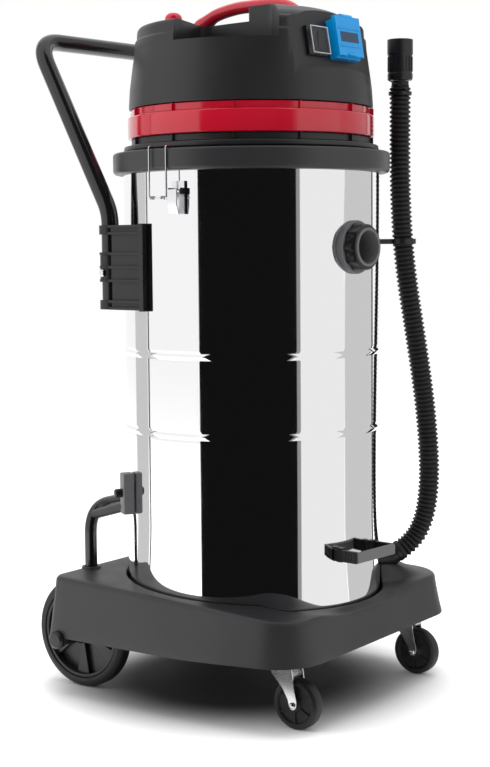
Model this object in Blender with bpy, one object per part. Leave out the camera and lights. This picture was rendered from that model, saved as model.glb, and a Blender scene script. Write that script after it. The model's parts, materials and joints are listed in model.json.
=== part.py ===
"""Wheeled wet-and-dry shop vacuum: steel tank on a moulded trolley, lift-off motor head, drain hose.

Metres, +Z up, front towards -Y, standing on z = 0, with the origin below the middle of its footprint.
Everything hangs from two empties: vacuum_frame carries the trolley, and tank_frame, which is turned
slightly about the tank's axis, carries the tank and the head.
"""

import math

import bmesh
import bpy
from mathutils import Matrix, Vector

# ---- Driving dimensions -------------------------------------------------------------------------
GAP = 0.0003                      # clearance between touching pieces
TANK_AXIS_Y = -0.0326             # tank axis from the middle of the footprint
TANK_TURN = math.radians(-5.5)    # the tank stands a little turned in its trolley

TANK_R = 0.200
TANK_SEGMENTS = 48
HEAD_SEGMENTS = 40
WALL_SEGMENTS = 96                # finer than the tank, so that what is cut to its wall stays clear of it
TANK_WALL = 0.0015
TANK_BOTTOM_Z = 0.1405
TANK_TOP_Z = 0.832
BEAD_ZS = (0.415, 0.533)
RIM_R = 0.2155
RIM_ZS = (0.806, 0.838)

DECK_HALF_WIDTH = 0.240
DECK_FRONT_Y = -0.236
DECK_REAR_Y = 0.240
DECK_FRONT_CORNER_R = 0.065
DECK_REAR_CORNER_R = 0.030
DECK_WALL = 0.004
SKIRT_DRAFT = 0.012
PAN_TOP_Z = 0.140
PAN_R = 0.2035

REAR_WHEEL_R = 0.087
REAR_WHEEL_Y = 0.207
REAR_WHEEL_XS = (0.160, 0.189)    # inner and outer face
REAR_AXLE_R = 0.006
CASTER_X = 0.176
CASTER_PIVOT_Y = -0.178
CASTER_TRAIL = 0.020
CASTER_WHEEL_R = 0.0375
CASTER_WHEEL_WIDTH = 0.024
CASTER_PLATE_Z = 0.0965

HOOP_R = 0.010
HOOP_X = 0.146
HOOP_Y = 0.217
HOOP_TOP_Z = 0.283
HOOP_BLOCK_ANGLE = math.radians(-124)
HOOP_BLOCK_RADII = (0.195, 0.2185)

HANDLE_R = 0.0135
HANDLE_X = 0.188
HANDLE_FOOT = (0.1246, 0.607)     # y and z of the leg's lower end
HANDLE_KNEE = (0.1246, 0.7476)
HANDLE_TOP = (0.283, 1.021)
BRACKET_ZS = (0.600, 0.728)
BRACKET_BAND_ZS = (0.642, 0.687)
BRACKET_XS = (0.1995, 0.2035)     # inner and outer face of the bracket's side plate
BRACKET_YS = (0.040, 0.110)

INLET_Z = 0.692
INLET_R = 0.0246
INLET_RING_R = 0.040
INLET_FACE_R = 0.227

LATCH_ANGLE = math.radians(84)    # from the front, to either side
LATCH_PIVOT = (0.2105, 0.776)     # radius and z of the lever's pin
LATCH_ROD = (0.2172, 0.766)       # radius and z of the bail's rod

HEAD_BASE_Z = 0.8395
RED_BAND_ZS = (0.860, 0.9045)
COVER_ZS = (0.9055, 0.9965)       # lower edge and the finger recesses' floor
COVER_WALL = 0.004
TOWER_TOP_Z = 1.056
PANEL_Y = -0.154
PANEL_TILT = math.radians(10)
ROCKERS_AT = (-0.038, -0.007)     # middle of the switches on the panel
ROCKER_SPACING = 0.0204
SOCKET_AT = (0.0255, 0.0)         # middle of the power outlet on the panel
CARRY_HANDLE_ENDS = (-0.088, 0.104)
CARRY_HANDLE_R = 0.0095
CARRY_HANDLE_TOP_Z = 1.074

BUTTON_AT = (0.0, 0.163, 1.0300)  # middle of the filter button, level with the cover
BUTTON_R = 0.0150

HOSE_ANGLE = math.radians(50.5)
HOSE_R = 0.0170
ELBOW_R = 0.0150
HOSE_ROUTE = (                    # radius from the tank's axis, and z
    (0.2390, 0.2000), (0.2550, 0.2118), (0.2700, 0.2298), (0.2810, 0.2560),
    (0.2870, 0.2900), (0.2890, 0.3300), (0.2870, 0.3800), (0.2820, 0.4350),
    (0.2740, 0.4950), (0.2640, 0.5600), (0.2530, 0.6300), (0.2450, 0.7000),
    (0.2410, 0.7700), (0.2400, 0.8400), (0.2400, 0.9100), (0.2400, 0.9530),
)
CUFF_R = 0.0205
CUFF_ZS = (0.9535, 1.0170)

COLOURS = {                       # colour, roughness, metallic
    "trolley_plastic": ((0.040, 0.040, 0.042), 0.50, 0.0),
    "head_plastic": ((0.030, 0.030, 0.032), 0.45, 0.0),
    "red_plastic": ((0.350, 0.004, 0.018), 0.20, 0.0),
    "black_plastic": ((0.012, 0.012, 0.013), 0.35, 0.0),
    "black_paint": ((0.010, 0.010, 0.011), 0.22, 0.0),
    "blue_plastic": ((0.003, 0.230, 0.650), 0.30, 0.0),
    "clear_plastic": ((0.700, 0.720, 0.730), 0.10, 0.0),
    "mirror_steel": ((0.850, 0.850, 0.860), 0.06, 1.0),
    "zinc": ((0.720, 0.720, 0.740), 0.20, 1.0),
    "rubber": ((0.012, 0.012, 0.012), 0.70, 0.0),
    "motor_metal": ((0.400, 0.410, 0.430), 0.40, 1.0),
    "filter_cloth": ((0.550, 0.560, 0.580), 0.90, 0.0),
    "float_plastic": ((0.800, 0.780, 0.700), 0.40, 0.0),
}


# ---- Shape helpers ------------------------------------------------------------------------------
def clear_scene():
    for obj in list(bpy.data.objects):
        bpy.data.objects.remove(obj)


def make_empty(name, parent=None, location=(0, 0, 0), turn=0.0):
    empty = bpy.data.objects.new(name, None)
    bpy.context.scene.collection.objects.link(empty)
    empty.parent = parent
    empty.location = location
    empty.rotation_euler.z = turn
    return empty


def material(name):
    found = bpy.data.materials.get(name)
    if found:
        return found
    colour, roughness, metallic = COLOURS[name]
    made = bpy.data.materials.new(name)
    made.use_nodes = True
    shader = made.node_tree.nodes["Principled BSDF"]
    shader.inputs["Base Color"].default_value = (*colour, 1.0)
    shader.inputs["Roughness"].default_value = roughness
    shader.inputs["Metallic"].default_value = metallic
    return made


def place(obj, finish, parent, location, rotation):
    bpy.context.scene.collection.objects.link(obj)
    obj.parent = parent
    obj.location = location
    obj.rotation_euler = rotation
    if finish:
        obj.data.materials.append(material(finish))
    return obj


def mesh_object(name, bm, finish=None, parent=None, location=(0, 0, 0), rotation=(0, 0, 0)):
    bmesh.ops.recalc_face_normals(bm, faces=bm.faces)
    mesh = bpy.data.meshes.new(name)
    bm.to_mesh(mesh)
    bm.free()
    mesh.shade_smooth()
    mesh.set_sharp_from_angle(angle=math.radians(35))
    return place(bpy.data.objects.new(name, mesh), finish, parent, location, rotation)


def join_loops(bm, lower, upper):
    """Faces between two rings of vertices. A ring of one vertex closes to a point."""
    count = max(len(lower), len(upper))
    for i in range(count):
        j = (i + 1) % count
        corners = [lower[i % len(lower)], lower[j % len(lower)], upper[j % len(upper)], upper[i % len(upper)]]
        bm.faces.new(list(dict.fromkeys(corners)))


def turned(profile, segments, closed):
    """A profile of (radius, height) points turned about Z. A closed profile makes a ring."""
    bm = bmesh.new()
    rings = []
    for radius, height in profile:
        steps = segments if radius > 1e-6 else 1
        angles = [2 * math.pi * i / segments for i in range(steps)]
        rings.append([bm.verts.new((radius * math.cos(a), radius * math.sin(a), height)) for a in angles])
    for lower, upper in zip(rings, rings[1:]):
        join_loops(bm, lower, upper)
    if closed:
        join_loops(bm, rings[-1], rings[0])
    return bm


def lathe(name, profile, finish=None, parent=None, segments=48, **where):
    """A solid of revolution whose open profile starts and ends on the axis."""
    return mesh_object(name, turned(profile, segments, False), finish, parent, **where)


def ring(name, profile, finish=None, parent=None, segments=48, **where):
    """A solid of revolution of a closed profile that stays off the axis."""
    return mesh_object(name, turned(profile, segments, True), finish, parent, **where)


def shrunk(outline, amount):
    """The outline with every side moved inwards by an amount, or outwards if it is negative."""
    area = sum(a[0] * b[1] - b[0] * a[1] for a, b in zip(outline, [*outline[1:], outline[0]]))
    amount = math.copysign(amount, amount * area)
    moved = []
    for before, point, after in zip([outline[-1], *outline[:-1]], outline, [*outline[1:], outline[0]]):
        into = (Vector(point) - Vector(before)).normalized()
        out_of = (Vector(after) - Vector(point)).normalized()
        normals = Vector((-into.y, into.x)), Vector((-out_of.y, out_of.x))
        half = (normals[0] + normals[1]).normalized()
        moved.append(tuple(Vector(point) + half * (amount / half.dot(normals[0]))))
    return moved


def sleeve(name, inner, outer, low, high, finish=None, parent=None, segments=32, **where):
    profile = [(outer, low), (outer, high), (inner, high), (inner, low)]
    return ring(name, profile, finish, parent, segments, **where)


def rod(name, radius, low, high, finish=None, parent=None, segments=20, **where):
    profile = [(0, low), (radius, low), (radius, high), (0, high)]
    return lathe(name, profile, finish, parent, segments, **where)


def block(name, low, high, finish=None, parent=None, **where):
    """A box between two corners."""
    bm = bmesh.new()
    size = Vector(high) - Vector(low)
    middle = (Vector(high) + Vector(low)) / 2
    bmesh.ops.create_cube(bm, size=1.0, matrix=Matrix.Translation(middle) @ Matrix.Diagonal((*size, 1.0)))
    return mesh_object(name, bm, finish, parent, **where)


def prism(name, outline, low, high, finish=None, parent=None, **where):
    """An outline of (x, y) points, extruded from low to high."""
    bm = bmesh.new()
    lower = [bm.verts.new((x, y, low)) for x, y in outline]
    upper = [bm.verts.new((x, y, high)) for x, y in outline]
    join_loops(bm, lower, upper)
    bm.faces.new(lower)
    bm.faces.new(upper)
    return mesh_object(name, bm, finish, parent, **where)


def cord(name, points, radius, finish, parent, rotation):
    """A hose as a curve with a round bevel and filled caps."""
    curve = bpy.data.curves.new(name, "CURVE")
    curve.dimensions = "3D"
    curve.bevel_depth = radius
    curve.bevel_resolution = 2
    curve.use_fill_caps = True
    line = curve.splines.new("POLY")
    line.points.add(len(points) - 1)
    for point, place_at in zip(line.points, points):
        point.co = (*place_at, 1.0)
    return place(bpy.data.objects.new(name, curve), finish, parent, (0, 0, 0), rotation)


def tube(name, points, radius, finish=None, parent=None, sides=12, **where):
    """A round bar along a line of points, as a mesh with flat ends."""
    points = [Vector(p) for p in points]
    steps = [(b - a).normalized() for a, b in zip(points, points[1:])]
    heads = [steps[0], *[(a + b).normalized() for a, b in zip(steps, steps[1:])], steps[-1]]
    side = heads[0].orthogonal().normalized()
    bm = bmesh.new()
    rings = []
    for i, (point, head) in enumerate(zip(points, heads)):
        if i:
            side = heads[i - 1].rotation_difference(head) @ side
        stretch = 1 / max(head.dot(steps[min(i, len(steps) - 1)]), 0.5)
        up = head.cross(side)
        bend = (steps[min(i, len(steps) - 1)] - steps[max(i - 1, 0)])
        bend = bend.normalized() if bend.length > 1e-6 else side
        loop = []
        for k in range(sides):
            turn = 2 * math.pi * k / sides
            spoke = side * math.cos(turn) + up * math.sin(turn)
            spoke += bend * spoke.dot(bend) * (stretch - 1)
            loop.append(bm.verts.new(point + spoke * radius))
        rings.append(loop)
    for lower, upper in zip(rings, rings[1:]):
        join_loops(bm, lower, upper)
    bm.faces.new(rings[0])
    bm.faces.new(rings[-1])
    return mesh_object(name, bm, finish, parent, **where)


def rounded_path(corners, radii, steps=6):
    """A line through corners, with each inner corner rounded to an arc-like bend of its own radius."""
    points = [Vector(corners[0])]
    for before, corner, after, radius in zip(corners, corners[1:], corners[2:], radii):
        corner = Vector(corner)
        start = corner + (Vector(before) - corner).normalized() * radius
        end = corner + (Vector(after) - corner).normalized() * radius
        for i in range(steps + 1):
            t = i / steps
            points.append(start * (1 - t) ** 2 + corner * 2 * t * (1 - t) + end * t ** 2)
    points.append(Vector(corners[-1]))
    return points


def smooth_path(points, steps):
    """A Catmull-Rom curve through the points, with some steps between each two."""
    line = [Vector(p) for p in points]
    line = [line[0] * 2 - line[1], *line, line[-1] * 2 - line[-2]]
    path = []
    for a, b, c, d in zip(line, line[1:], line[2:], line[3:]):
        for i in range(steps):
            t = i / steps
            path.append((b * 2 + (c - a) * t + (a * 2 - b * 5 + c * 4 - d) * t ** 2
                         + (b * 3 - a - c * 3 + d) * t ** 3) / 2)
    path.append(line[-2])
    return path


def combine(target, operation, *tools):
    """Adds or cuts away hidden tool shapes."""
    for tool in tools:
        tool.hide_render = True
        tool.display_type = "WIRE"
        step = target.modifiers.new(operation.lower(), "BOOLEAN")
        step.operation = operation
        step.solver = "EXACT"
        step.object = tool
    return target


def cut(target, *tools):
    return combine(target, "DIFFERENCE", *tools)


def add(target, *tools):
    return combine(target, "UNION", *tools)


def around(angle, radius, z=0.0):
    """A point at an angle from the front, positive towards +X."""
    return Vector((radius * math.sin(angle), -radius * math.cos(angle), z))


ALONG_X = (0, math.radians(90), 0)
ALONG_Y = (math.radians(90), 0, 0)          # local +Z to the front
TOWARDS_FRONT = Matrix.Rotation(math.radians(90), 4, "X")
TOWARDS_RIGHT = Matrix.Rotation(math.radians(90), 4, "Y")


def facing(angle):
    """Turns a shape drawn with its outward side at -Y to face out at that angle."""
    return (0, 0, angle)


def elbow_path(start_r):
    """Centre line of the drain elbow from a radius inside the wall to the hose, in the hose's own plane."""
    end = Vector(HOSE_ROUTE[0])
    away = (Vector(HOSE_ROUTE[1]) - end).normalized()
    end -= away * GAP
    corner = end - away * 0.020
    return rounded_path([(0, -start_r, corner.y), (0, -corner.x, corner.y), (0, -end.x, end.y)], [0.012], 3)


# ---- Trolley ------------------------------------------------------------------------------------
def deck_distance(x, y, inset):
    """Signed distance from the trolley's rounded outline, negative inside."""
    corner = DECK_FRONT_CORNER_R if y < 0 else DECK_REAR_CORNER_R
    half_y = -DECK_FRONT_Y if y < 0 else DECK_REAR_Y
    dx = abs(x) - (DECK_HALF_WIDTH - corner)
    dy = abs(y) - (half_y - corner)
    outside = math.hypot(max(dx, 0), max(dy, 0))
    return outside + min(max(dx, dy), 0) - corner + inset


def deck_radius(angle, inset):
    """How far the trolley's outline is from the tank's axis at an angle."""
    near, far = 0.1, 0.5
    for _ in range(40):
        middle = (near + far) / 2
        point = around(angle, middle)
        if deck_distance(point.x, point.y, inset) < 0:
            near = middle
        else:
            far = middle
    return near


def ramp(value, start, end):
    t = min(max((value - start) / (end - start), 0.0), 1.0)
    return t * t * (3 - 2 * t)


def deck_edge_z(point):
    """Height of the trolley's upper edge: rising to the back, with a dip across the front."""
    dip = 0.014 * ramp(-point.y, 0.15, 0.20) * (1 - ramp(abs(point.x), 0.09, 0.14))
    return 0.174 + 0.045 * point.y - dip


def deck_inner_z(angle):
    """Height of the deck at the tank, with the raised hump that the drain comes over."""
    turn = math.degrees(angle)
    hump = 0.024 * ramp(turn, 34, 42) * (1 - ramp(turn, 62, 80))
    y = around(angle, PAN_R).y
    return 0.174 + 0.045 * y - 0.009 * ramp(-y, 0.115, 0.160) + hump


def skirt_z(point):
    return 0.090 + 0.010 * ramp(-point.y, 0.0, 0.24)


def trolley_base(frame):
    """Skirt, deck and the pan that the tank stands in, as one moulding that is open below."""
    bm = bmesh.new()
    centre_top = bm.verts.new((0, 0, PAN_TOP_Z))
    centre_low = bm.verts.new((0, 0, PAN_TOP_Z - DECK_WALL))
    columns = []
    count = 54
    for i in range(count):
        angle = 2 * math.pi * (i / count) - math.pi
        edge = around(angle, deck_radius(angle, SKIRT_DRAFT))
        foot = around(angle, deck_radius(angle, 0))
        edge_under = around(angle, deck_radius(angle, SKIRT_DRAFT + DECK_WALL))
        foot_under = around(angle, deck_radius(angle, DECK_WALL))
        inner_z = deck_inner_z(angle)
        heights = (
            (foot, skirt_z(foot)),
            (edge, deck_edge_z(edge)),
            (around(angle, PAN_R + 0.003), inner_z),
            (around(angle, PAN_R), inner_z - 0.003),
            (around(angle, PAN_R), PAN_TOP_Z),
            None,
            (around(angle, PAN_R + DECK_WALL - 0.0005), PAN_TOP_Z - DECK_WALL),
            (around(angle, PAN_R + DECK_WALL - 0.0005), inner_z - DECK_WALL),
            (edge_under, deck_edge_z(edge) - DECK_WALL),
            (foot_under, skirt_z(foot)),
        )
        columns.append([h and bm.verts.new((h[0].x, h[0].y, h[1])) for h in heights])
    loops = [list(loop) for loop in zip(*columns)]
    for k, (lower, upper) in enumerate(zip(loops, loops[1:])):
        if lower[0] is None:
            join_loops(bm, [centre_low], upper)
        elif upper[0] is None:
            join_loops(bm, lower, [centre_top])
        else:
            join_loops(bm, lower, upper)
    join_loops(bm, loops[-1], loops[0])
    bmesh.ops.triangulate(bm, faces=bm.faces)
    base = mesh_object("trolley_base", bm, "trolley_plastic", frame)
    for side in (-1, 1):
        rib = block("rib_tool", (side * 0.138, 0.166, 0.074), (side * 0.148, 0.232, 0.1790), parent=frame)
        lug = rod("lug_tool", 0.0135, 0.2340, 0.2395, parent=frame, location=(0, REAR_WHEEL_Y, REAR_WHEEL_R),
                  rotation=(0, side * math.radians(90), 0))
        boss_top = 0.1605 if side < 0 else 0.1665    # the right one runs up under the hump
        boss = rod("boss_tool", 0.030, CASTER_PLATE_Z + 0.0035, boss_top, parent=frame,
                   location=(side * CASTER_X, CASTER_PIVOT_Y, 0))
        add(base, rib, lug, boss)
    for side in (-1, 1):
        well = block("well_tool", (side * 0.154, 0.20, 0.05), (side * 0.2, 0.30, 0.1765), parent=frame)
        cut(base, well)
    bore = rod("bore_tool", REAR_AXLE_R + GAP, -0.26, 0.26, parent=frame,
               location=(0, REAR_WHEEL_Y, REAR_WHEEL_R), rotation=ALONG_X)
    cut(base, bore)
    cut(base, tube("elbow_tool", elbow_path(0.1900), ELBOW_R + 0.001, None, frame, 16,
                   rotation=facing(HOSE_ANGLE + TANK_TURN)))
    for side in (-1, 1):
        socket = rod("hoop_tool", HOOP_R + GAP, 0.160, 0.20, parent=frame,
                     location=(side * HOOP_X, HOOP_Y, 0))
        cut(base, socket)
    return base


def rear_running_gear(frame):
    rod("rear_axle", REAR_AXLE_R, -0.2395, 0.2395, "zinc", frame, 16,
        location=(0, REAR_WHEEL_Y, REAR_WHEEL_R),
        rotation=ALONG_X)
    inner, outer = REAR_WHEEL_XS
    for side, label in ((-1, "left"), (1, "right")):
        turn = (0, side * math.radians(90), 0)
        hub_at = (0, REAR_WHEEL_Y, REAR_WHEEL_R)
        cap = [(0, 0.2400), (0.0140, 0.2400), (0.0140, 0.2445), (0.0105, 0.2475), (0, 0.2480)]
        lathe("axle_cap_" + label, cap, "black_plastic", frame, 24, location=hub_at, rotation=turn)
        bore = REAR_AXLE_R + GAP
        hub = [
            (bore, inner - 0.006), (0.018, inner - 0.006), (0.018, inner + 0.010), (0.066, inner + 0.010),
            (0.068, inner + 0.002), (0.072, inner + 0.002), (0.072, outer - 0.002), (0.068, outer - 0.002),
            (0.066, inner + 0.015), (0.018, inner + 0.015), (0.014, outer + 0.004), (0.011, 0.2330),
            (bore, 0.2330),
        ]
        ring("rear_wheel_" + label, hub, "black_plastic", frame, 24, location=hub_at, rotation=turn)
        tyre = [
            (0.072 + GAP, inner), (0.080, inner), (REAR_WHEEL_R, inner + 0.006),
            (REAR_WHEEL_R, outer - 0.006), (0.080, outer), (0.072 + GAP, outer),
        ]
        ring("rear_tyre_" + label, tyre, "rubber", frame, 24, location=hub_at, rotation=turn)


def rear_hoop(frame):
    """Bent bar over the back of the deck, with the block that joins it to the tank's wall."""
    legs = [(-HOOP_X, HOOP_Y, 0.162), (-HOOP_X, HOOP_Y, HOOP_TOP_Z), (HOOP_X, HOOP_Y, HOOP_TOP_Z),
            (HOOP_X, HOOP_Y, 0.162)]
    line = rounded_path(legs, [0.045] * 2, 5)
    tube("rear_hoop", line, HOOP_R, "black_paint", frame, 10)
    inner, outer = HOOP_BLOCK_RADII
    body = block("hoop_block", (-0.011, -outer, 0.284), (0.011, -inner, 0.348), "trolley_plastic", frame,
                 rotation=facing(HOOP_BLOCK_ANGLE))
    add(body, tube("arm_tool", [(-0.1715, 0.1230, 0.2950), (-0.1390, 0.2170, 0.2680)], 0.008, parent=frame))
    cut(body, tube("bar_tool", line, HOOP_R + GAP, parent=frame, sides=16))
    cut(body, rod("wall_tool", TANK_R + 0.0008, 0.2, 0.4, parent=frame, segments=WALL_SEGMENTS))
    start = outer + GAP
    bolt = [(0, start), (0.007, start), (0.007, start + 0.009), (0.005, start + 0.0115), (0, start + 0.0115)]
    lathe("hoop_bolt", bolt, "black_plastic", frame, 20, location=(0, 0, 0.317),
          rotation=(math.radians(90), 0, HOOP_BLOCK_ANGLE))


def casters(frame):
    for side, label in ((-1, "left"), (1, "right")):
        pivot = (side * CASTER_X, CASTER_PIVOT_Y, 0)
        top = CASTER_PLATE_Z
        plate = block("caster_plate_" + label, (-0.024, -0.024, top), (0.024, 0.024, top + 0.003), "zinc",
                      frame, location=pivot)
        add(plate, rod("pin_tool", 0.005, top - 0.0075, top + 0.001, parent=frame, location=pivot))
        fork_top = top - GAP
        wheel_y = -CASTER_TRAIL
        half = CASTER_WHEEL_WIDTH / 2 + 0.001
        cheek = [(-0.011, 0.010), (wheel_y - 0.008, -0.0085), (wheel_y, -0.058), (wheel_y + 0.007, -0.052),
                 (0.016, -0.010), (0.016, 0.010)]
        fork = sleeve("caster_fork_" + label, 0.005 + GAP, 0.021, fork_top - 0.006, fork_top, "zinc",
                      frame, 20, location=pivot)
        for edge in (-1, 1):
            side_plate = prism("cheek_tool", cheek, half, half + 0.0025, parent=frame,
                               location=(pivot[0], pivot[1], fork_top - 0.010))
            side_plate.rotation_euler = (math.radians(90), 0, math.radians(90))
            if edge < 0:
                side_plate.location.x -= 2 * half + 0.0025
            add(fork, side_plate)
        centre = (pivot[0], pivot[1] + wheel_y, CASTER_WHEEL_R)
        cut(fork, rod("axle_tool", 0.003 + GAP, -0.03, 0.03, parent=frame, location=centre, rotation=ALONG_X,
                      segments=16))
        under, over = half + 0.0028, half + 0.0062
        bolt = [(0, -over), (0.0048, -over), (0.0048, -under), (0.003, -under),
                (0.003, under), (0.0048, under), (0.0048, over), (0, over)]
        lathe("caster_bolt_" + label, bolt, "zinc", frame, 16, location=centre, rotation=ALONG_X)
        width = CASTER_WHEEL_WIDTH / 2
        bore = 0.003 + GAP
        tread = [(bore, -width), (0.010, -width), (0.010, -width + 0.004), (0.027, -width + 0.004),
                 (0.027, -width), (0.032, -width), (CASTER_WHEEL_R, -width + 0.005),
                 (CASTER_WHEEL_R, width - 0.005), (0.032, width), (0.027, width), (0.027, width - 0.004),
                 (0.010, width - 0.004), (0.010, width), (bore, width)]
        ring("caster_wheel_" + label, tread, "rubber", frame, 16, location=centre, rotation=ALONG_X)


# ---- Tank ---------------------------------------------------------------------------------------
def tank(frame):
    inner = TANK_R - TANK_WALL
    outside = [(0, TANK_BOTTOM_Z), (TANK_R - 0.012, TANK_BOTTOM_Z), (TANK_R - 0.003, TANK_BOTTOM_Z + 0.004),
               (TANK_R, TANK_BOTTOM_Z + 0.013)]
    for z in BEAD_ZS:
        outside += [(TANK_R, z - 0.006), (TANK_R + 0.0018, z), (TANK_R, z + 0.006)]
    outside += [(TANK_R, TANK_TOP_Z), (inner, TANK_TOP_Z)]
    inside = [(inner, TANK_BOTTOM_Z + 0.014), (inner - 0.011, TANK_BOTTOM_Z + TANK_WALL),
              (0, TANK_BOTTOM_Z + TANK_WALL)]
    shell = lathe("tank_shell", outside + inside, "mirror_steel", frame, TANK_SEGMENTS)
    cut(shell, rod("inlet_tool", INLET_R + 0.0044 + GAP, 0.15, 0.25, parent=frame, segments=40,
                   location=(0, 0, INLET_Z), rotation=ALONG_Y))
    rim = [(TANK_R + GAP, RIM_ZS[0]), (RIM_R - 0.002, RIM_ZS[0]), (RIM_R, RIM_ZS[0] + 0.002),
           (RIM_R, RIM_ZS[1] - 0.003), (RIM_R - 0.003, RIM_ZS[1]), (TANK_R - 0.004, RIM_ZS[1]),
           (TANK_R - 0.004, TANK_TOP_Z + GAP), (TANK_R + GAP, TANK_TOP_Z + GAP)]
    ring("tank_rim", rim, "black_plastic", frame, TANK_SEGMENTS)


def inlet(frame):
    at = (0, 0, INLET_Z)
    spigot = [(INLET_R, 0.186), (INLET_R + 0.0044, 0.186), (INLET_R + 0.0044, INLET_FACE_R - 0.002),
              (INLET_R + 0.0034, INLET_FACE_R), (INLET_R, INLET_FACE_R)]
    ring("inlet_spigot", spigot, "black_plastic", frame, 24, location=at, rotation=ALONG_Y)
    bore = INLET_R + 0.0044 + GAP
    collar = [(bore, 0.190), (INLET_RING_R, 0.190), (INLET_RING_R, 0.207), (INLET_RING_R - 0.003, 0.209),
              (INLET_RING_R - 0.003, 0.220), (INLET_RING_R - 0.007, 0.2255), (bore, 0.2255)]
    bayonet = ring("inlet_ring", collar, "black_plastic", frame, 24, location=at, rotation=ALONG_Y)
    cut(bayonet, rod("wall_tool", TANK_R + GAP, 0.6, 0.8, parent=frame, segments=WALL_SEGMENTS))
    hood = [(-0.034, -0.1850), (0.034, -0.1850), (0.034, -0.1820), (0.026, -0.1500), (-0.026, -0.1500),
            (-0.034, -0.1820)]
    cover = prism("inlet_deflector", hood, INLET_Z - 0.045, INLET_Z + 0.040, "black_plastic", frame)
    cut(cover,
        block("hood_tool", (-0.030, -0.19, INLET_Z - 0.05), (0.030, -0.154, INLET_Z + 0.036), parent=frame))


def pull_handle(frame):
    """Flat loop below the inlet, to tip the tank by."""
    outline = [(-0.048, -0.185), (-0.048, -0.236), (-0.042, -0.241), (0.042, -0.241), (0.048, -0.236),
               (0.048, -0.185)]
    loop = prism("front_pull_handle", outline, 0.226, 0.2435, "trolley_plastic", frame)
    hole = prism("loop_tool", [(-0.041, -0.205), (-0.041, -0.2345), (0.041, -0.2345), (0.041, -0.205)],
                 0.2, 0.26, parent=frame)
    wall = rod("wall_tool", TANK_R + GAP, 0.2, 0.3, parent=frame, segments=WALL_SEGMENTS)
    cut(loop, hole, wall)


def handle_and_brackets(frame):
    foot_y, foot_z = HANDLE_FOOT
    knee_y, knee_z = HANDLE_KNEE
    top_y, top_z = HANDLE_TOP
    half = [(HANDLE_X, foot_y, foot_z), (HANDLE_X, knee_y, knee_z), (HANDLE_X, top_y, top_z)]
    line = [(-x, y, z) for x, y, z in half] + half[::-1]
    tube("push_handle", rounded_path(line, [0.019, 0.048, 0.048, 0.019], 4), HANDLE_R, "black_paint",
         frame, 10)
    low, high = BRACKET_ZS
    inner, outer = BRACKET_XS
    front, back = BRACKET_YS
    grip = HANDLE_R + 0.0035
    for side, label in ((-1, "left"), (1, "right")):
        def piece(name, near, far):
            return block(name, (side * near[0], near[1], near[2]), (side * far[0], far[1], far[2]),
                         "black_plastic", frame)
        body = piece("handle_bracket_" + label, (inner, front, low), (outer, back, high))
        add(body, piece("flange_tool", (0.185, front - 0.002, low - 0.002),
                        (outer + 0.003, front + 0.008, high + 0.002)))
        for z_low, z_high in ((low, low + 0.014), (high - 0.014, high), BRACKET_BAND_ZS):
            web = piece("web_tool", (0.140, front + 0.002, z_low), (outer - 0.001, back + 0.002, z_high))
            collar = rod("collar_tool", grip, z_low, z_high, parent=frame,
                         location=(side * HANDLE_X, foot_y, 0))
            add(body, web, collar)
        wall = rod("wall_tool", TANK_R + GAP, low - 0.1, high + 0.1, parent=frame, segments=WALL_SEGMENTS)
        leg = rod("leg_tool", HANDLE_R + GAP, foot_z - 0.001, high + 0.1, parent=frame, segments=16,
                  location=(side * HANDLE_X, foot_y, 0))
        cut(body, wall, leg)
        start = HANDLE_X + grip + GAP
        screw = [(0, start), (0.0055, start), (0.0055, start + 0.002), (0.004, start + 0.0034),
                 (0, start + 0.0034)]
        lathe("bracket_screw_" + label, screw, "zinc", frame, 16, rotation=(0, side * math.radians(90), 0),
              location=(0, foot_y, sum(BRACKET_BAND_ZS) / 2 - 0.009))


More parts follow.
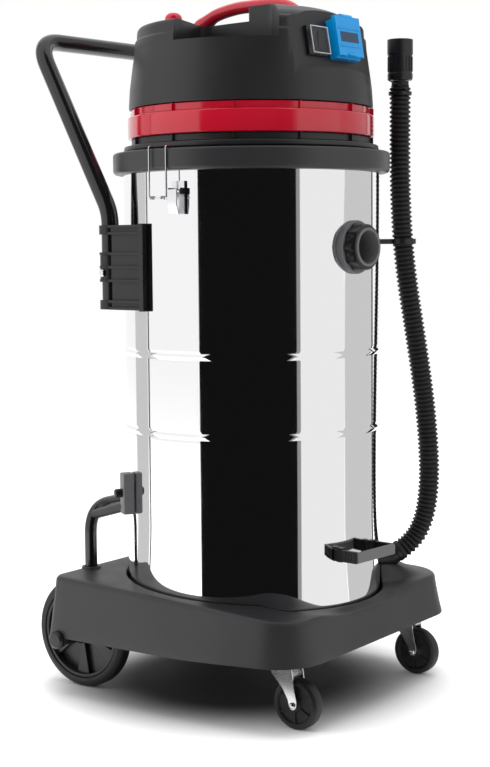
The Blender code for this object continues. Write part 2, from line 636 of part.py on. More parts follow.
def latches(frame):
    pin_r, pin_z = LATCH_PIVOT
    rod_r, rod_z = LATCH_ROD
    drop = rod_z - pin_z
    out = rod_r - pin_r
    for side, label in ((-1, "left"), (1, "right")):
        angle = side * LATCH_ANGLE
        turn = facing(angle)
        along = (0, math.radians(90), angle)

        def slab(name, near, far, finish=None):
            """A box whose first coordinate runs forwards along the tank's wall, the second outwards."""
            return block(name, (-side * near[0], -near[1], near[2]), (-side * far[0], -far[1], far[2]),
                         finish, frame, rotation=turn)
        base = slab("latch_base_" + label, (-0.002, 0.190, 0.742), (0.021, 0.2035, 0.790), "zinc")
        for edge in (-0.0010, 0.0200):
            ear = slab("ear_tool", (edge - 0.001, 0.199, pin_z - 0.005),
                       (edge + 0.001, pin_r + 0.0035, pin_z + 0.004))
            add(base, ear)
        cut(base, rod("wall_tool", TANK_R + GAP, 0.7, 0.82, parent=frame, segments=WALL_SEGMENTS))
        pin_at = around(angle, pin_r, pin_z)
        rod_at = around(angle, rod_r, rod_z)
        middle = 0.0095
        pin = Vector((-side * middle, 0, 0))
        pin.rotate(Matrix.Rotation(angle, 3, "Z"))
        lever = rod("latch_lever_" + label, 0.0020, -0.0090, 0.0090, "zinc", frame, 12, location=pin_at + pin,
                    rotation=along)
        profile = [(-0.0015, 0.003), (out + 0.002, 0.002), (out + 0.0025, drop - 0.014),
                   (0.002, drop - 0.024),
                   (-0.0005, drop - 0.024), (out - 0.0025, drop - 0.012), (-0.0015, -0.003)]
        paddle = prism("paddle_tool", profile, -0.0088, 0.0088, parent=frame)
        paddle.matrix_basis = (Matrix.Translation(pin_at + pin) @ Matrix.Rotation(angle, 4, "Z")
                               @ Matrix(((0, 0, 1, 0), (-1, 0, 0, 0), (0, 1, 0, 0), (0, 0, 0, 1))))
        add(lever, paddle)
        cut(lever, rod("rod_tool", 0.0012 + GAP, -0.03, 0.03, parent=frame, segments=12, location=rod_at,
                       rotation=along))
        top_in = rod_r - 0.2075
        rise = 0.8405 - rod_z
        far, near = (side * 0.0325, side * 0.0015)
        wire = [(far, 0, 0), (far, 0, rise), (far, top_in, rise + 0.001), (near, top_in, rise + 0.001),
                (near, 0, rise), (near, 0, 0)]
        bail = tube("latch_bail_" + label, rounded_path(wire, [0.0015] * 4, 2), 0.0012, "zinc", frame, 6,
                    location=rod_at, rotation=turn)
        cross_low, cross_high = sorted((side * -0.0195, side * 0.0340))
        cross = rod("cross_tool", 0.0012, cross_low, cross_high, parent=frame, segments=8, location=rod_at,
                    rotation=along)
        add(bail, cross)


def drain(frame):
    """Elbow low on the tank, the corrugated hose that stands up beside it, its cuff and its clip."""
    turn = facing(HOSE_ANGLE)
    elbow = tube("drain_elbow", elbow_path(0.1990), ELBOW_R, "black_plastic", frame, 16, rotation=turn)
    cut(elbow, rod("wall_tool", TANK_R + GAP, 0.15, 0.25, parent=frame, segments=WALL_SEGMENTS))
    cord("drain_hose", [(0, -r, z) for r, z in HOSE_ROUTE], HOSE_R, "rubber", frame, turn)
    top_r = HOSE_ROUTE[-1][0]
    top_at = around(HOSE_ANGLE, top_r)
    cuff = [(0, CUFF_ZS[0]), (CUFF_R - 0.001, CUFF_ZS[0]), (CUFF_R, CUFF_ZS[0] + 0.001), (CUFF_R, CUFF_ZS[1]),
            (CUFF_R - 0.003, CUFF_ZS[1]), (CUFF_R - 0.003, CUFF_ZS[1] - 0.02), (0, CUFF_ZS[1] - 0.02)]
    lathe("hose_cuff", cuff, "black_plastic", frame, 20, location=top_at)
    clip_r, clip_z = HOSE_ROUTE[11]
    clip = sleeve("hose_clip", HOSE_R + 0.0012, HOSE_R + 0.0042, clip_z - 0.005, clip_z + 0.005,
                  "black_plastic", frame, 20, location=around(HOSE_ANGLE, clip_r))
    arm = block("arm_tool", (-0.006, -clip_r + HOSE_R + 0.002, clip_z - 0.005),
                (0.006, -0.190, clip_z + 0.005), parent=frame, rotation=turn)
    add(clip, arm)
    cut(clip, rod("wall_tool", TANK_R + GAP, 0.6, 0.8, parent=frame, segments=WALL_SEGMENTS))


# ---- Head ---------------------------------------------------------------------------------------
def head_base(frame):
    """Plate that closes the tank, with a rebate for the seal and a set-back neck below the red band."""
    low = HEAD_BASE_Z
    neck = RED_BAND_ZS[0] - GAP
    plate = [(0.0205, 0.8375), (0.1935, 0.8375), (0.1935, low), (0.196, low), (0.1985, low + 0.0015),
             (0.1975, low + 0.008), (0.187, low + 0.010), (0.187, neck), (0.178, neck), (0.178, low + 0.005),
             (0.0205, low + 0.005)]
    ring("head_base", plate, "head_plastic", frame, HEAD_SEGMENTS)
    seal = [(0.1860, 0.8330), (0.1930, 0.8330), (0.1930, 0.8372), (0.1860, 0.8372)]
    ring("head_seal", seal, "rubber", frame, 32)


def red_band(frame):
    low, high = RED_BAND_ZS
    band = [(0.179, low), (0.1905, low), (0.1916, low + 0.0015), (0.1916, high - 0.013),
            (0.1895, high - 0.0105), (0.186, high - 0.0105), (0.186, high), (0.179, high)]
    ring("red_band", band, "red_plastic", frame, HEAD_SEGMENTS)


def recess_outline(side):
    """Plan of the hand recess beside the carry handle."""
    return [(side * 0.26, -0.175), (side * 0.1036, -0.1446), (side * 0.050, -0.085), (side * 0.045, -0.060),
            (side * 0.045, 0.040), (side * 0.060, 0.052), (side * 0.178, -0.004), (side * 0.26, -0.030)]


def cover_solid(name, inset, finish, frame):
    """The drum with its rear pod and front tower, shrunk by inset for the inner face."""
    low, floor = COVER_ZS
    foot = low - 0.01 if inset else low
    drum = [(0, foot), (0.1897 - inset, foot), (0.1880 - inset, 0.935), (0.1840 - inset, 0.965),
            (0.1800 - inset, 0.992 - inset), (0.1788 - inset, 1.008 - inset),
            (0.1762 - inset, 1.0105 - inset),
            (0.1753 - inset, 1.024 - inset), (0.1725 - inset, 1.0285 - inset),
            (0.165 - inset, 1.0300 - inset),
            (0.10, 1.033 - inset), (0, 1.0345 - inset)]
    shape = lathe(name, drum, finish, frame, HEAD_SEGMENTS)
    tower_profile = [(0, 0.97), (0.150, 0.97), (0.1798 - inset, 0.985), (0.1745 - inset, 1.015),
                     (0.160 - inset, 1.036 - inset), (0.130 - inset, 1.049 - inset), (0.09, 1.055 - inset),
                     (0, TOWER_TOP_Z - inset)]
    tower = lathe("tower_tool", tower_profile, None, frame, HEAD_SEGMENTS)
    plan = [(-0.17, -0.2), (0.17, -0.2), (0.10, -0.115), (0.045, -0.060), (0.045, -0.032), (-0.045, -0.032),
            (-0.045, -0.060), (-0.10, -0.115)]
    combine(tower, "INTERSECT", prism("tower_plan_tool", shrunk(plan, inset), 0.9, 1.1, parent=frame))
    add(shape, tower)
    for side in (-1, 1):
        recess = shrunk(recess_outline(side), -inset)
        cut(shape, prism("recess_tool", recess, floor - inset, 1.1, parent=frame))
    panel = block("panel_tool", (-0.3, -0.3, -0.0575), (0.3, 0.0, 0.2), parent=frame)
    panel.matrix_basis = Matrix.Translation((0, PANEL_Y + inset, 1.0)) @ Matrix.Rotation(-PANEL_TILT, 4, "X")
    return cut(shape, panel)


def head_cover(frame):
    cover = cover_solid("head_cover", 0.0, "head_plastic", frame)
    hollow = cover_solid("hollow_tool", COVER_WALL, None, frame)
    x, y, z = BUTTON_AT
    hole = rod("button_tool", BUTTON_R + 0.0005, z - 0.04, z + 0.04, parent=frame, location=(x, y, 0))
    return cut(cover, hollow, hole)


def carry_handle(frame):
    """Arched grip from the rear pod to the tower."""
    front, back = CARRY_HANDLE_ENDS
    top = CARRY_HANDLE_TOP_Z - CARRY_HANDLE_R
    line = smooth_path([(0, back, 1.0425), (0, back - 0.012, 1.0475), (0, back - 0.035, 1.0580),
                        (0, 0.030, top - 0.0005), (0, -0.005, top), (0, -0.040, top - 0.0005),
                        (0, front, 1.0635)], 3)
    bar = tube("carry_handle", line, CARRY_HANDLE_R, "red_plastic", frame, 10)
    return cut(bar, rod("top_tool", 0.3, 0.9, 1.0350, parent=frame),
               block("tower_tool2", (-0.05, -0.2, 1.0), (0.05, -0.0315, TOWER_TOP_Z + 0.0004), parent=frame))


def button(frame):
    x, y, z = BUTTON_AT
    stem = [(0, -0.022), (BUTTON_R, -0.022), (BUTTON_R, 0.030), (0.012, 0.038), (0.005, 0.0415), (0, 0.042)]
    lathe("filter_button", stem, "red_plastic", frame, 20, location=(x, y, z))


def panel_place(x, out, z):
    """A matrix that stands on the panel, with local -Y out of it."""
    return (Matrix.Translation((0, PANEL_Y, 1.0)) @ Matrix.Rotation(-PANEL_TILT, 4, "X")
            @ Matrix.Translation((x, -out, z)))


def control_panel(frame):
    """Two rocker switches under a clear hood, a lidded power outlet, and the gland of the power cord."""
    skin = GAP
    rockers_x, rockers_z = ROCKERS_AT
    bezel = block("switch_bezel", (-0.0215, -0.005, -0.0215), (0.0215, 0, 0.0215), "black_plastic", frame)
    bezel.matrix_basis = panel_place(rockers_x, skin, rockers_z)
    for side, label in ((-1, "left"), (1, "right")):
        middle = panel_place(rockers_x + side * ROCKER_SPACING / 2, skin, rockers_z)
        slot = block("slot_tool", (-0.0085, -0.01, -0.0160), (0.0085, -0.0008, 0.0160), parent=frame)
        slot.matrix_basis = middle
        cut(bezel, slot)
        profile = [(-0.0014, -0.0150), (-0.0050, -0.0150), (-0.0062, -0.0075), (-0.0068, 0.0),
                   (-0.0088, 0.0150), (-0.0048, 0.0153)]
        rocker = prism("rocker_" + label, profile, -0.0079, 0.0079, "black_plastic", frame)
        rocker.matrix_basis = middle @ Matrix(((0, 0, 1, 0), (1, 0, 0, 0), (0, 1, 0, 0), (0, 0, 0, 1)))
    hood = block("switch_cover", (-0.0205, -0.0125, -0.0205), (0.0205, -0.0053, 0.0205), "clear_plastic",
                 frame)
    inside = block("cover_tool", (-0.0193, -0.0115, -0.0193), (0.0193, 0.0, 0.0193), parent=frame)
    hood.matrix_basis = panel_place(rockers_x, skin, rockers_z)
    inside.matrix_basis = panel_place(rockers_x, skin, rockers_z)
    cut(hood, inside)
    socket_x, socket_z = SOCKET_AT
    body = block("socket_body", (-0.029, -0.012, -0.031), (0.029, 0, 0.0275), "blue_plastic", frame)
    body.matrix_basis = panel_place(socket_x, skin, socket_z)
    well = rod("well_tool", 0.0195, 0.0045, 0.03, parent=frame)
    well.matrix_basis = panel_place(socket_x, skin, socket_z - 0.002) @ TOWARDS_FRONT
    cut(body, well)
    lid = block("socket_lid", (-0.030, -0.008, -0.060), (0.030, -0.0015, 0.0), "blue_plastic", frame)
    knuckle = rod("knuckle_tool", 0.0042, -0.013, 0.013, parent=frame, segments=16)
    hinge = panel_place(socket_x, skin + 0.0110, socket_z + 0.0320)
    lid.matrix_basis = hinge
    knuckle.matrix_basis = hinge @ Matrix.Translation((0, -0.0042, 0)) @ TOWARDS_RIGHT
    add(lid, knuckle)
    gland = [(0, 0.001), (0.016, 0.001), (0.016, 0.008), (0.012, 0.010), (0.010, 0.028), (0.0045, 0.030),
             (0.0045, 0.020), (0, 0.020)]
    gland_body = lathe("cable_gland", gland, "black_plastic", frame, 16)
    gland_body.matrix_basis = Matrix.Translation((0.0, 0.1880, 0.935)) @ TOWARDS_FRONT.inverted()


def inner_works(frame):
    """Two suction motors, their fans, the float valve and the cloth filter."""
    for x, label in ((-0.075, "left"), (0.075, "right")):
        can = [(0, 0.946), (0.041, 0.946), (0.041, 0.901), (0.050, 0.897), (0.050, 0.8465), (0.060, 0.8465),
               (0.060, 0.900), (0.045, 0.905), (0.045, 0.950), (0, 0.950)]
        lathe("motor_" + label, can, "motor_metal", frame, 20, location=(x, 0, 0))
        fan = [(0, 0.8700), (0.046, 0.8700), (0.046, 0.8720), (0.008, 0.8740), (0.008, 0.890), (0.032, 0.900),
               (0.032, 0.935), (0.008, 0.940), (0, 0.940)]
        lathe("fan_" + label, fan, "motor_metal", frame, 14, location=(x, 0, 0))
    cage = sleeve("float_cage", 0.0345, 0.0370, 0.7350, 0.8370, "black_plastic", frame, 16)
    for turn in (0, 60, 120):
        cut(cage, block("slot_tool", (-0.05, -0.012, 0.748), (0.05, 0.012, 0.820), parent=frame,
                        rotation=(0, 0, math.radians(turn))))
    foot = rod("foot_tool", 0.0370, 0.7300, 0.7352, parent=frame, segments=16)
    add(cage, foot)
    ball = [(0.030 * math.sin(math.pi * i / 10), -0.030 * math.cos(math.pi * i / 10)) for i in range(11)]
    ball[0], ball[-1] = (0, -0.030), (0, 0.030)
    lathe("float_ball", ball, "float_plastic", frame, 12, location=(0, 0, 0.7660))
    cloth = [(0, 0.450), (0.100, 0.450), (0.138, 0.742), (0.181, 0.790), (0.184, 0.8325), (0.182, 0.8325),
             (0.179, 0.792), (0.136, 0.744), (0.098, 0.452), (0, 0.452)]
    lathe("filter_bag", cloth, "filter_cloth", frame, 24)


def build():
    clear_scene()
    frame = make_empty("vacuum_frame", None, (0, TANK_AXIS_Y, 0))
    turned_frame = make_empty("tank_frame", frame, (0, 0, 0), TANK_TURN)
    trolley_base(frame)
    rear_running_gear(frame)
    rear_hoop(frame)
    casters(frame)
    tank(turned_frame)
    inlet(turned_frame)
    pull_handle(turned_frame)
    handle_and_brackets(turned_frame)
    latches(turned_frame)
    drain(turned_frame)
    head_base(turned_frame)
    red_band(turned_frame)
    head_cover(turned_frame)
    carry_handle(turned_frame)
    button(turned_frame)
    control_panel(turned_frame)
    inner_works(turned_frame)


build()
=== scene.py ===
"""Shop vacuum: detailed pieces, materials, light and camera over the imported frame. Metres, +Z up."""
import json
import math

import bmesh
import bpy
from mathutils import Matrix, Vector


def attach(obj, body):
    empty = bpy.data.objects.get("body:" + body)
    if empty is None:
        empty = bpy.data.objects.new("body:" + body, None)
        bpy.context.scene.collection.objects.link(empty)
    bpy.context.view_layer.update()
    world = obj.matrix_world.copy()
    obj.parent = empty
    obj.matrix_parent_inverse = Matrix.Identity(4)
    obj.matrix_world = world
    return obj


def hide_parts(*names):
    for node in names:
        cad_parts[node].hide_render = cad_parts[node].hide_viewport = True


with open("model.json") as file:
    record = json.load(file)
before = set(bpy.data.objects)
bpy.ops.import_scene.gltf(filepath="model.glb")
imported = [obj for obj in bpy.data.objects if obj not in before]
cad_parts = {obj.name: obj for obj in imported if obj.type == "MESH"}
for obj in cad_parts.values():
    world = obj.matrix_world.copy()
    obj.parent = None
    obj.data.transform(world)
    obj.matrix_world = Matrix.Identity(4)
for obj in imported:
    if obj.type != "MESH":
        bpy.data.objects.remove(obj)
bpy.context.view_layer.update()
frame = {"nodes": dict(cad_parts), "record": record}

# ---- Frames and sizes ---------------------------------------------------------------------------
AXIS_Y = -0.0326
TROLLEY = Matrix.Translation((0, AXIS_Y, 0))
TANK_TURN = math.radians(-5.5)
TANK = TROLLEY @ Matrix.Rotation(TANK_TURN, 4, "Z")
PHOTO_HEIGHT = 767

TANK_R = 0.200
PANEL_Y = -0.154
PANEL_TILT = math.radians(10)
HOSE_ANGLE = math.radians(50.5)
HOSE_R = 0.0170
HOSE_ROUTE = (                    # radius from the tank's axis, and z
    (0.2390, 0.2000), (0.2550, 0.2118), (0.2700, 0.2298), (0.2810, 0.2560),
    (0.2870, 0.2900), (0.2890, 0.3300), (0.2870, 0.3800), (0.2820, 0.4350),
    (0.2740, 0.4950), (0.2640, 0.5600), (0.2530, 0.6300), (0.2450, 0.7000),
    (0.2410, 0.7700), (0.2400, 0.8400), (0.2400, 0.9100), (0.2400, 0.9530),
)
HOOP_LEGS = ((-0.146, 0.217, 0.162), (-0.146, 0.217, 0.283), (0.146, 0.217, 0.283), (0.146, 0.217, 0.162))
ROOT = "tank_and_trolley"


# ---- Materials ----------------------------------------------------------------------------------
def finish(name, colour, roughness, metallic=0.0, grain=0.0, grain_scale=900.0, spread=0.0, coat=0.0,
           alpha=1.0, wave=0.0, shade=0.0):
    """A procedural finish: roughness spread and fine grain from noise, slow waves for sheet metal."""
    made = bpy.data.materials.new(name)
    made.use_nodes = True
    tree = made.node_tree
    nodes, links = tree.nodes, tree.links
    shader = nodes["Principled BSDF"]
    shader.inputs["Base Color"].default_value = (*colour, 1.0)
    shader.inputs["Roughness"].default_value = roughness
    shader.inputs["Metallic"].default_value = metallic
    shader.inputs["Coat Weight"].default_value = coat
    shader.inputs["Coat Roughness"].default_value = 0.08
    shader.inputs["Alpha"].default_value = alpha
    where = nodes.new("ShaderNodeTexCoord")
    if spread or shade:
        cloud = nodes.new("ShaderNodeTexNoise")
        cloud.inputs["Scale"].default_value = 14.0
        cloud.inputs["Detail"].default_value = 6.0
        links.new(where.outputs["Object"], cloud.inputs["Vector"])
    if spread:
        span = nodes.new("ShaderNodeMapRange")
        span.inputs["From Min"].default_value = 0.3
        span.inputs["From Max"].default_value = 0.7
        span.inputs["To Min"].default_value = max(roughness - spread, 0.01)
        span.inputs["To Max"].default_value = roughness + spread
        links.new(cloud.outputs["Fac"], span.inputs["Value"])
        links.new(span.outputs["Result"], shader.inputs["Roughness"])
    if shade:
        tone_and_shadow_mix = nodes.new("ShaderNodeMix")
        tone_and_shadow_mix.data_type = "RGBA"
        tone_and_shadow_mix.inputs["A"].default_value = (*[c * (1 - shade) for c in colour], 1.0)
        tone_and_shadow_mix.inputs["B"].default_value = (*[min(c * (1 + shade), 1.0) for c in colour], 1.0)
        links.new(cloud.outputs["Fac"], tone_and_shadow_mix.inputs["Factor"])
        links.new(tone_and_shadow_mix.outputs["Result"], shader.inputs["Base Color"])
    if grain or wave:
        bump = nodes.new("ShaderNodeBump")
        texture = nodes.new("ShaderNodeTexNoise")
        texture.inputs["Scale"].default_value = grain_scale if grain else 7.0
        texture.inputs["Detail"].default_value = 2.0 if grain else 0.0
        bump.inputs["Strength"].default_value = grain or wave
        bump.inputs["Distance"].default_value = 0.0004 if grain else 0.002
        links.new(where.outputs["Object"], texture.inputs["Vector"])
        links.new(texture.outputs["Fac"], bump.inputs["Height"])
        links.new(bump.outputs["Normal"], shader.inputs["Normal"])
    return made


FINISHES = {                      # colour, roughness and the other arguments of finish
    "trolley_plastic": ((0.020, 0.020, 0.022), 0.46, dict(grain=0.35, spread=0.06, shade=0.15)),
    "head_plastic": ((0.014, 0.014, 0.015), 0.40, dict(grain=0.30, spread=0.05, shade=0.15)),
    "red_plastic": ((0.40, 0.002, 0.016), 0.16, dict(coat=0.6, spread=0.04, shade=0.05)),
    "black_plastic": ((0.006, 0.006, 0.007), 0.36, dict(grain=0.25, spread=0.06, shade=0.15)),
    "black_paint": ((0.005, 0.005, 0.006), 0.20, dict(coat=0.4, spread=0.05, shade=0.1)),
    "blue_plastic": ((0.0, 0.25, 0.60), 0.28, dict(grain=0.1, spread=0.04, shade=0.06)),
    "clear_plastic": ((0.12, 0.12, 0.13), 0.08, dict(alpha=0.10, spread=0.03)),
    # painted highlight: light grey and half opaque, for the clear hood's edges
    "painted_edge_highlight": ((0.60, 0.62, 0.64), 0.12, dict(alpha=0.60, spread=0.03)),
    "mirror_steel": ((0.90, 0.90, 0.91), 0.045, dict(metallic=1.0, wave=0.04, spread=0.015)),
    "zinc": ((0.80, 0.80, 0.82), 0.16, dict(metallic=1.0, grain=0.08, spread=0.06, shade=0.06)),
    "rubber": ((0.008, 0.008, 0.008), 0.55, dict(grain=0.3, spread=0.08, shade=0.2)),
    "motor_metal": ((0.42, 0.43, 0.45), 0.38, dict(metallic=1.0, grain=0.2, spread=0.08)),
    "filter_cloth": ((0.42, 0.43, 0.45), 0.92, dict(grain=0.9, grain_scale=420.0, shade=0.2)),
    "float_plastic": ((0.80, 0.77, 0.68), 0.38, dict(grain=0.1, spread=0.05, shade=0.05)),
    "label_grey": ((0.015, 0.045, 0.085), 0.35, dict(grain=0.1, spread=0.05, shade=0.08)),
    "rim_plastic": ((0.022, 0.022, 0.024), 0.38, dict(grain=0.25, spread=0.05, shade=0.1)),
    "grey_plastic": ((0.10, 0.10, 0.105), 0.42, dict(grain=0.25, spread=0.05, shade=0.1)),
}
MAT = {name: finish(name, colour, roughness, **extra)
       for name, (colour, roughness, extra) in FINISHES.items()}


# ---- Shape helpers ------------------------------------------------------------------------------
def piece(name, bm, slot, body=ROOT, replaces=(), matrix=TANK, look=None, angle=32, bevel=0.0, segments=2):
    """Makes the object, puts it in the row frame, and lets it ride on a body."""
    bmesh.ops.recalc_face_normals(bm, faces=bm.faces)
    bmesh.ops.transform(bm, matrix=matrix, verts=bm.verts)
    mesh = bpy.data.meshes.new(name)
    bm.to_mesh(mesh)
    bm.free()
    mesh.shade_smooth()
    mesh.set_sharp_from_angle(angle=math.radians(angle))
    obj = bpy.data.objects.new(name, mesh)
    bpy.context.scene.collection.objects.link(obj)
    mesh.materials.append(MAT[look or slot])
    if bevel:
        soften_edges(obj, bevel, segments)
    if body:
        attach(obj, body)
    if replaces:
        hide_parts(*replaces)
    return obj


def soften_edges(obj, width, segments=2, angle=30):
    rounding = obj.modifiers.new("edges", "BEVEL")
    rounding.width = width
    rounding.segments = segments
    rounding.limit_method = "ANGLE"
    rounding.angle_limit = math.radians(angle)
    rounding.harden_normals = False
    return obj


def carve(obj, *tools):
    """Cuts the tools out of an object for good, then removes them."""
    for tool in tools:
        step = obj.modifiers.new("cut", "BOOLEAN")
        step.operation = "DIFFERENCE"
        step.solver = "EXACT"
        step.object = tool
    apply_modifiers(obj)
    for tool in tools:
        bpy.data.objects.remove(tool)
    return obj


def apply_modifiers(obj):
    graph = bpy.context.evaluated_depsgraph_get()
    mesh = bpy.data.meshes.new_from_object(obj.evaluated_get(graph))
    obj.modifiers.clear()
    obj.data = mesh
    mesh.shade_smooth()
    mesh.set_sharp_from_angle(angle=math.radians(32))


def tool(bm, matrix=TANK):
    return piece("tool", bm, "rubber", body=None, matrix=matrix)


def join_loops(bm, lower, upper):
    count = max(len(lower), len(upper))
    for i in range(count):
        j = (i + 1) % count
        corners = [lower[i % len(lower)], lower[j % len(lower)], upper[j % len(upper)], upper[i % len(upper)]]
        bm.faces.new(list(dict.fromkeys(corners)))


def rounded(corners, radii, steps=4):
    """A line through corners in 2-D or 3-D, with its inner corners rounded."""
    if not isinstance(radii, (list, tuple)):
        radii = [radii] * (len(corners) - 2)
    points = [Vector(corners[0])]
    for before, corner, after, radius in zip(corners, corners[1:], corners[2:], radii):
        corner = Vector(corner)
        reach = min(radius, (Vector(before) - corner).length * 0.48, (Vector(after) - corner).length * 0.48)
        start = corner + (Vector(before) - corner).normalized() * reach
        end = corner + (Vector(after) - corner).normalized() * reach
        for i in range(steps + 1):
            t = i / steps
            points.append(start * (1 - t) ** 2 + corner * 2 * t * (1 - t) + end * t ** 2)
    points.append(Vector(corners[-1]))
    return points


def rounded_loop(corners, radius, steps=4):
    wrapped = [corners[-1], *corners, corners[0]]
    return rounded(wrapped, radius, steps)[1:-1]


def turned(profile, segments=128, closed=False, bm=None, matrix=None):
    """A profile of (radius, height) turned about Z."""
    bm = bm or bmesh.new()
    rings = []
    for radius, height in (point[:2] for point in profile):
        steps = segments if radius > 1e-6 else 1
        angles = [2 * math.pi * i / segments for i in range(steps)]
        rings.append([bm.verts.new((radius * math.cos(a), radius * math.sin(a), height)) for a in angles])
    for lower, upper in zip(rings, rings[1:]):
        join_loops(bm, lower, upper)
    if closed:
        join_loops(bm, rings[-1], rings[0])
    if matrix:
        bmesh.ops.transform(bm, matrix=matrix, verts=[v for loop in rings for v in loop])
    return bm


def box(low, high, bm=None, matrix=None):
    bm = bm or bmesh.new()
    size = Vector(high) - Vector(low)
    middle = (Vector(high) + Vector(low)) / 2
    where = Matrix.Translation(middle) @ Matrix.Diagonal((*size, 1.0))
    made = bmesh.ops.create_cube(bm, size=1.0, matrix=where)
    if matrix:
        bmesh.ops.transform(bm, matrix=matrix, verts=made["verts"])
    return bm


def prism(outline, low, high, bm=None, matrix=None):
    bm = bm or bmesh.new()
    lower = [bm.verts.new((x, y, low)) for x, y in outline]
    upper = [bm.verts.new((x, y, high)) for x, y in outline]
    join_loops(bm, lower, upper)
    bm.faces.new(lower)
    bm.faces.new(upper)
    if matrix:
        bmesh.ops.transform(bm, matrix=matrix, verts=lower + upper)
    return bm


def sweep(points, radius, sides=24, bm=None, flat=(1.0, 1.0), caps=True, up=None):
    """A bar along a line. radius is a number or one number for each point; flat squeezes its section."""
    bm = bm or bmesh.new()
    points = [Vector(p) for p in points]
    radii = radius if isinstance(radius, list) else [radius] * len(points)
    steps = [(b - a).normalized() for a, b in zip(points, points[1:])]
    heads = [steps[0], *[(a + b).normalized() for a, b in zip(steps, steps[1:])], steps[-1]]
    side = heads[0].orthogonal().normalized()
    if up:
        side = heads[0].cross(Vector(up)).normalized()
    rings = []
    for i, (point, head, size) in enumerate(zip(points, heads, radii)):
        if i:
            side = heads[i - 1].rotation_difference(head) @ side
        other = head.cross(side)
        loop = []
        for k in range(sides):
            turn = 2 * math.pi * k / sides
            spoke = side * math.cos(turn) * flat[0] + other * math.sin(turn) * flat[1]
            loop.append(bm.verts.new(point + spoke * size))
        rings.append(loop)
    for lower, upper in zip(rings, rings[1:]):
        join_loops(bm, lower, upper)
    if caps:
        bm.faces.new(rings[0])
        bm.faces.new(rings[-1])
    return bm


def smooth_path(points, steps):
    """A Catmull-Rom curve through the points."""
    line = [Vector(p) for p in points]
    line = [line[0] * 2 - line[1], *line, line[-1] * 2 - line[-2]]
    path = []
    for a, b, c, d in zip(line, line[1:], line[2:], line[3:]):
        for i in range(steps):
            t = i / steps
            path.append((b * 2 + (c - a) * t + (a * 2 - b * 5 + c * 4 - d) * t ** 2
                         + (b * 3 - a - c * 3 + d) * t ** 3) / 2)
    path.append(line[-2])
    return path


def evenly(path, step):
    """The same line with points a step apart."""
    out = [path[0]]
    left = step
    for a, b in zip(path, path[1:]):
        length = (b - a).length
        done = 0.0
        while length - done >= left:
            done += left
            out.append(a.lerp(b, done / length))
            left = step
        left -= length - done
    return out


def line_length(path):
    return sum((b - a).length for a, b in zip(path, path[1:]))


def around(angle, radius, z=0.0):
    """A point at an angle from the front, positive towards +X."""
    return Vector((radius * math.sin(angle), -radius * math.cos(angle), z))


def facing(angle):
    return Matrix.Rotation(angle, 4, "Z")


FRONTWARDS = Matrix.Rotation(math.radians(90), 4, "X")     # local +Z to the front
SIDEWAYS = Matrix.Rotation(math.radians(90), 4, "Y")       # local +Z to +X


# ---- Camera and drain hose first ----------------------------------------------------------------
def add_camera():
    """Stands at the front left, a little above the middle of the object, and looks slightly down."""
    turn, pitch, roll = math.radians(54.786), math.radians(5.156), math.radians(-0.466)
    ahead = Vector((math.sin(turn), math.cos(turn), 0))
    across = Vector((math.cos(turn), -math.sin(turn), 0))
    up = Vector((0, 0, 1))
    look = ahead * math.cos(pitch) - up * math.sin(pitch)
    top = up * math.cos(pitch) + ahead * math.sin(pitch)
    right = across * math.cos(roll) + top * math.sin(roll)
    top = top * math.cos(roll) - across * math.sin(roll)
    data = bpy.data.cameras.new("camera")
    data.sensor_width = 36.0
    data.lens = 36.0 * 1551.58 / PHOTO_HEIGHT
    camera = bpy.data.objects.new("camera", data)
    bpy.context.scene.collection.objects.link(camera)
    camera.matrix_world = Matrix.Translation((-2.00605, -1.40026 + AXIS_Y, 0.69871)) @ Matrix(
        (right, top, -look)).transposed().to_4x4()
    bpy.context.scene.camera = camera
    return turn


def drain_hose():
    """Corrugated hose from the drain elbow up to its cuff, with the tie ring and its tether on it."""
    ridge, valley, pitch, per_ridge = HOSE_R, 0.0136, 0.0072, 6
    turn = facing(HOSE_ANGLE)
    route = smooth_path([(0, -r, z) for r, z in HOSE_ROUTE], 40)
    route = evenly(route, pitch / per_ridge)
    shape = (0.0, 0.30, 0.80, 1.0, 0.80, 0.30)
    radii = [valley + (ridge - valley) * shape[i % per_ridge] for i in range(len(route))]
    radii[:4] = [ridge - 0.0005] * 4
    radii[-6:] = [valley] * 6
    placed = [(TANK @ turn) @ p for p in route]
    hose = piece("corrugated_hose", sweep(route, radii, 20), "rubber", replaces=["drain_hose"],
                 matrix=TANK @ turn, angle=60)
    top = HOSE_ROUTE[-1]
    cuff_profile = rounded([(0, 0.9535), (0.0190, 0.9535), (0.0199, 0.958), (0.0199, 0.963),
                            (0.0191, 0.965), (0.0191, 0.992), (0.0202, 0.994), (0.0202, 1.0170),
                            (0.0170, 1.0170), (0.0165, 0.970), (0, 0.970)], 0.0008, 3)
    cuff = turned(cuff_profile, 48)
    for i in range(20):
        rib = Matrix.Rotation(2 * math.pi * i / 20, 4, "Z")
        box((0.0186, -0.0011, 0.967), (0.0199, 0.0011, 0.990), cuff, rib)
    where = TANK @ turn @ Matrix.Translation((0, -top[0], 0))
    piece("hose_cuff_detail", cuff, "black_plastic", replaces=["hose_cuff"], matrix=where)
    length = line_length(placed)
    tie = turned(rounded_loop([(0.0150, 0.930), (0.0184, 0.930), (0.0184, 0.936), (0.0150, 0.936)], 0.0012,
                              3), 40, closed=True)
    piece("hose_tie_ring", tie, "black_plastic", matrix=where)
    tether = []
    for i in range(13):
        angle = math.radians(-150 - 15 * i)
        swell = math.sin(math.pi * i / 12)
        height = 0.9345 + 0.024 * i / 12 + 0.004 * swell
        tether.append((0.0190 * math.cos(angle), 0.0190 * math.sin(angle), height))
    piece("hose_tether", sweep(smooth_path(tether, 4), 0.0011, 8), "black_plastic", matrix=where)
    return length


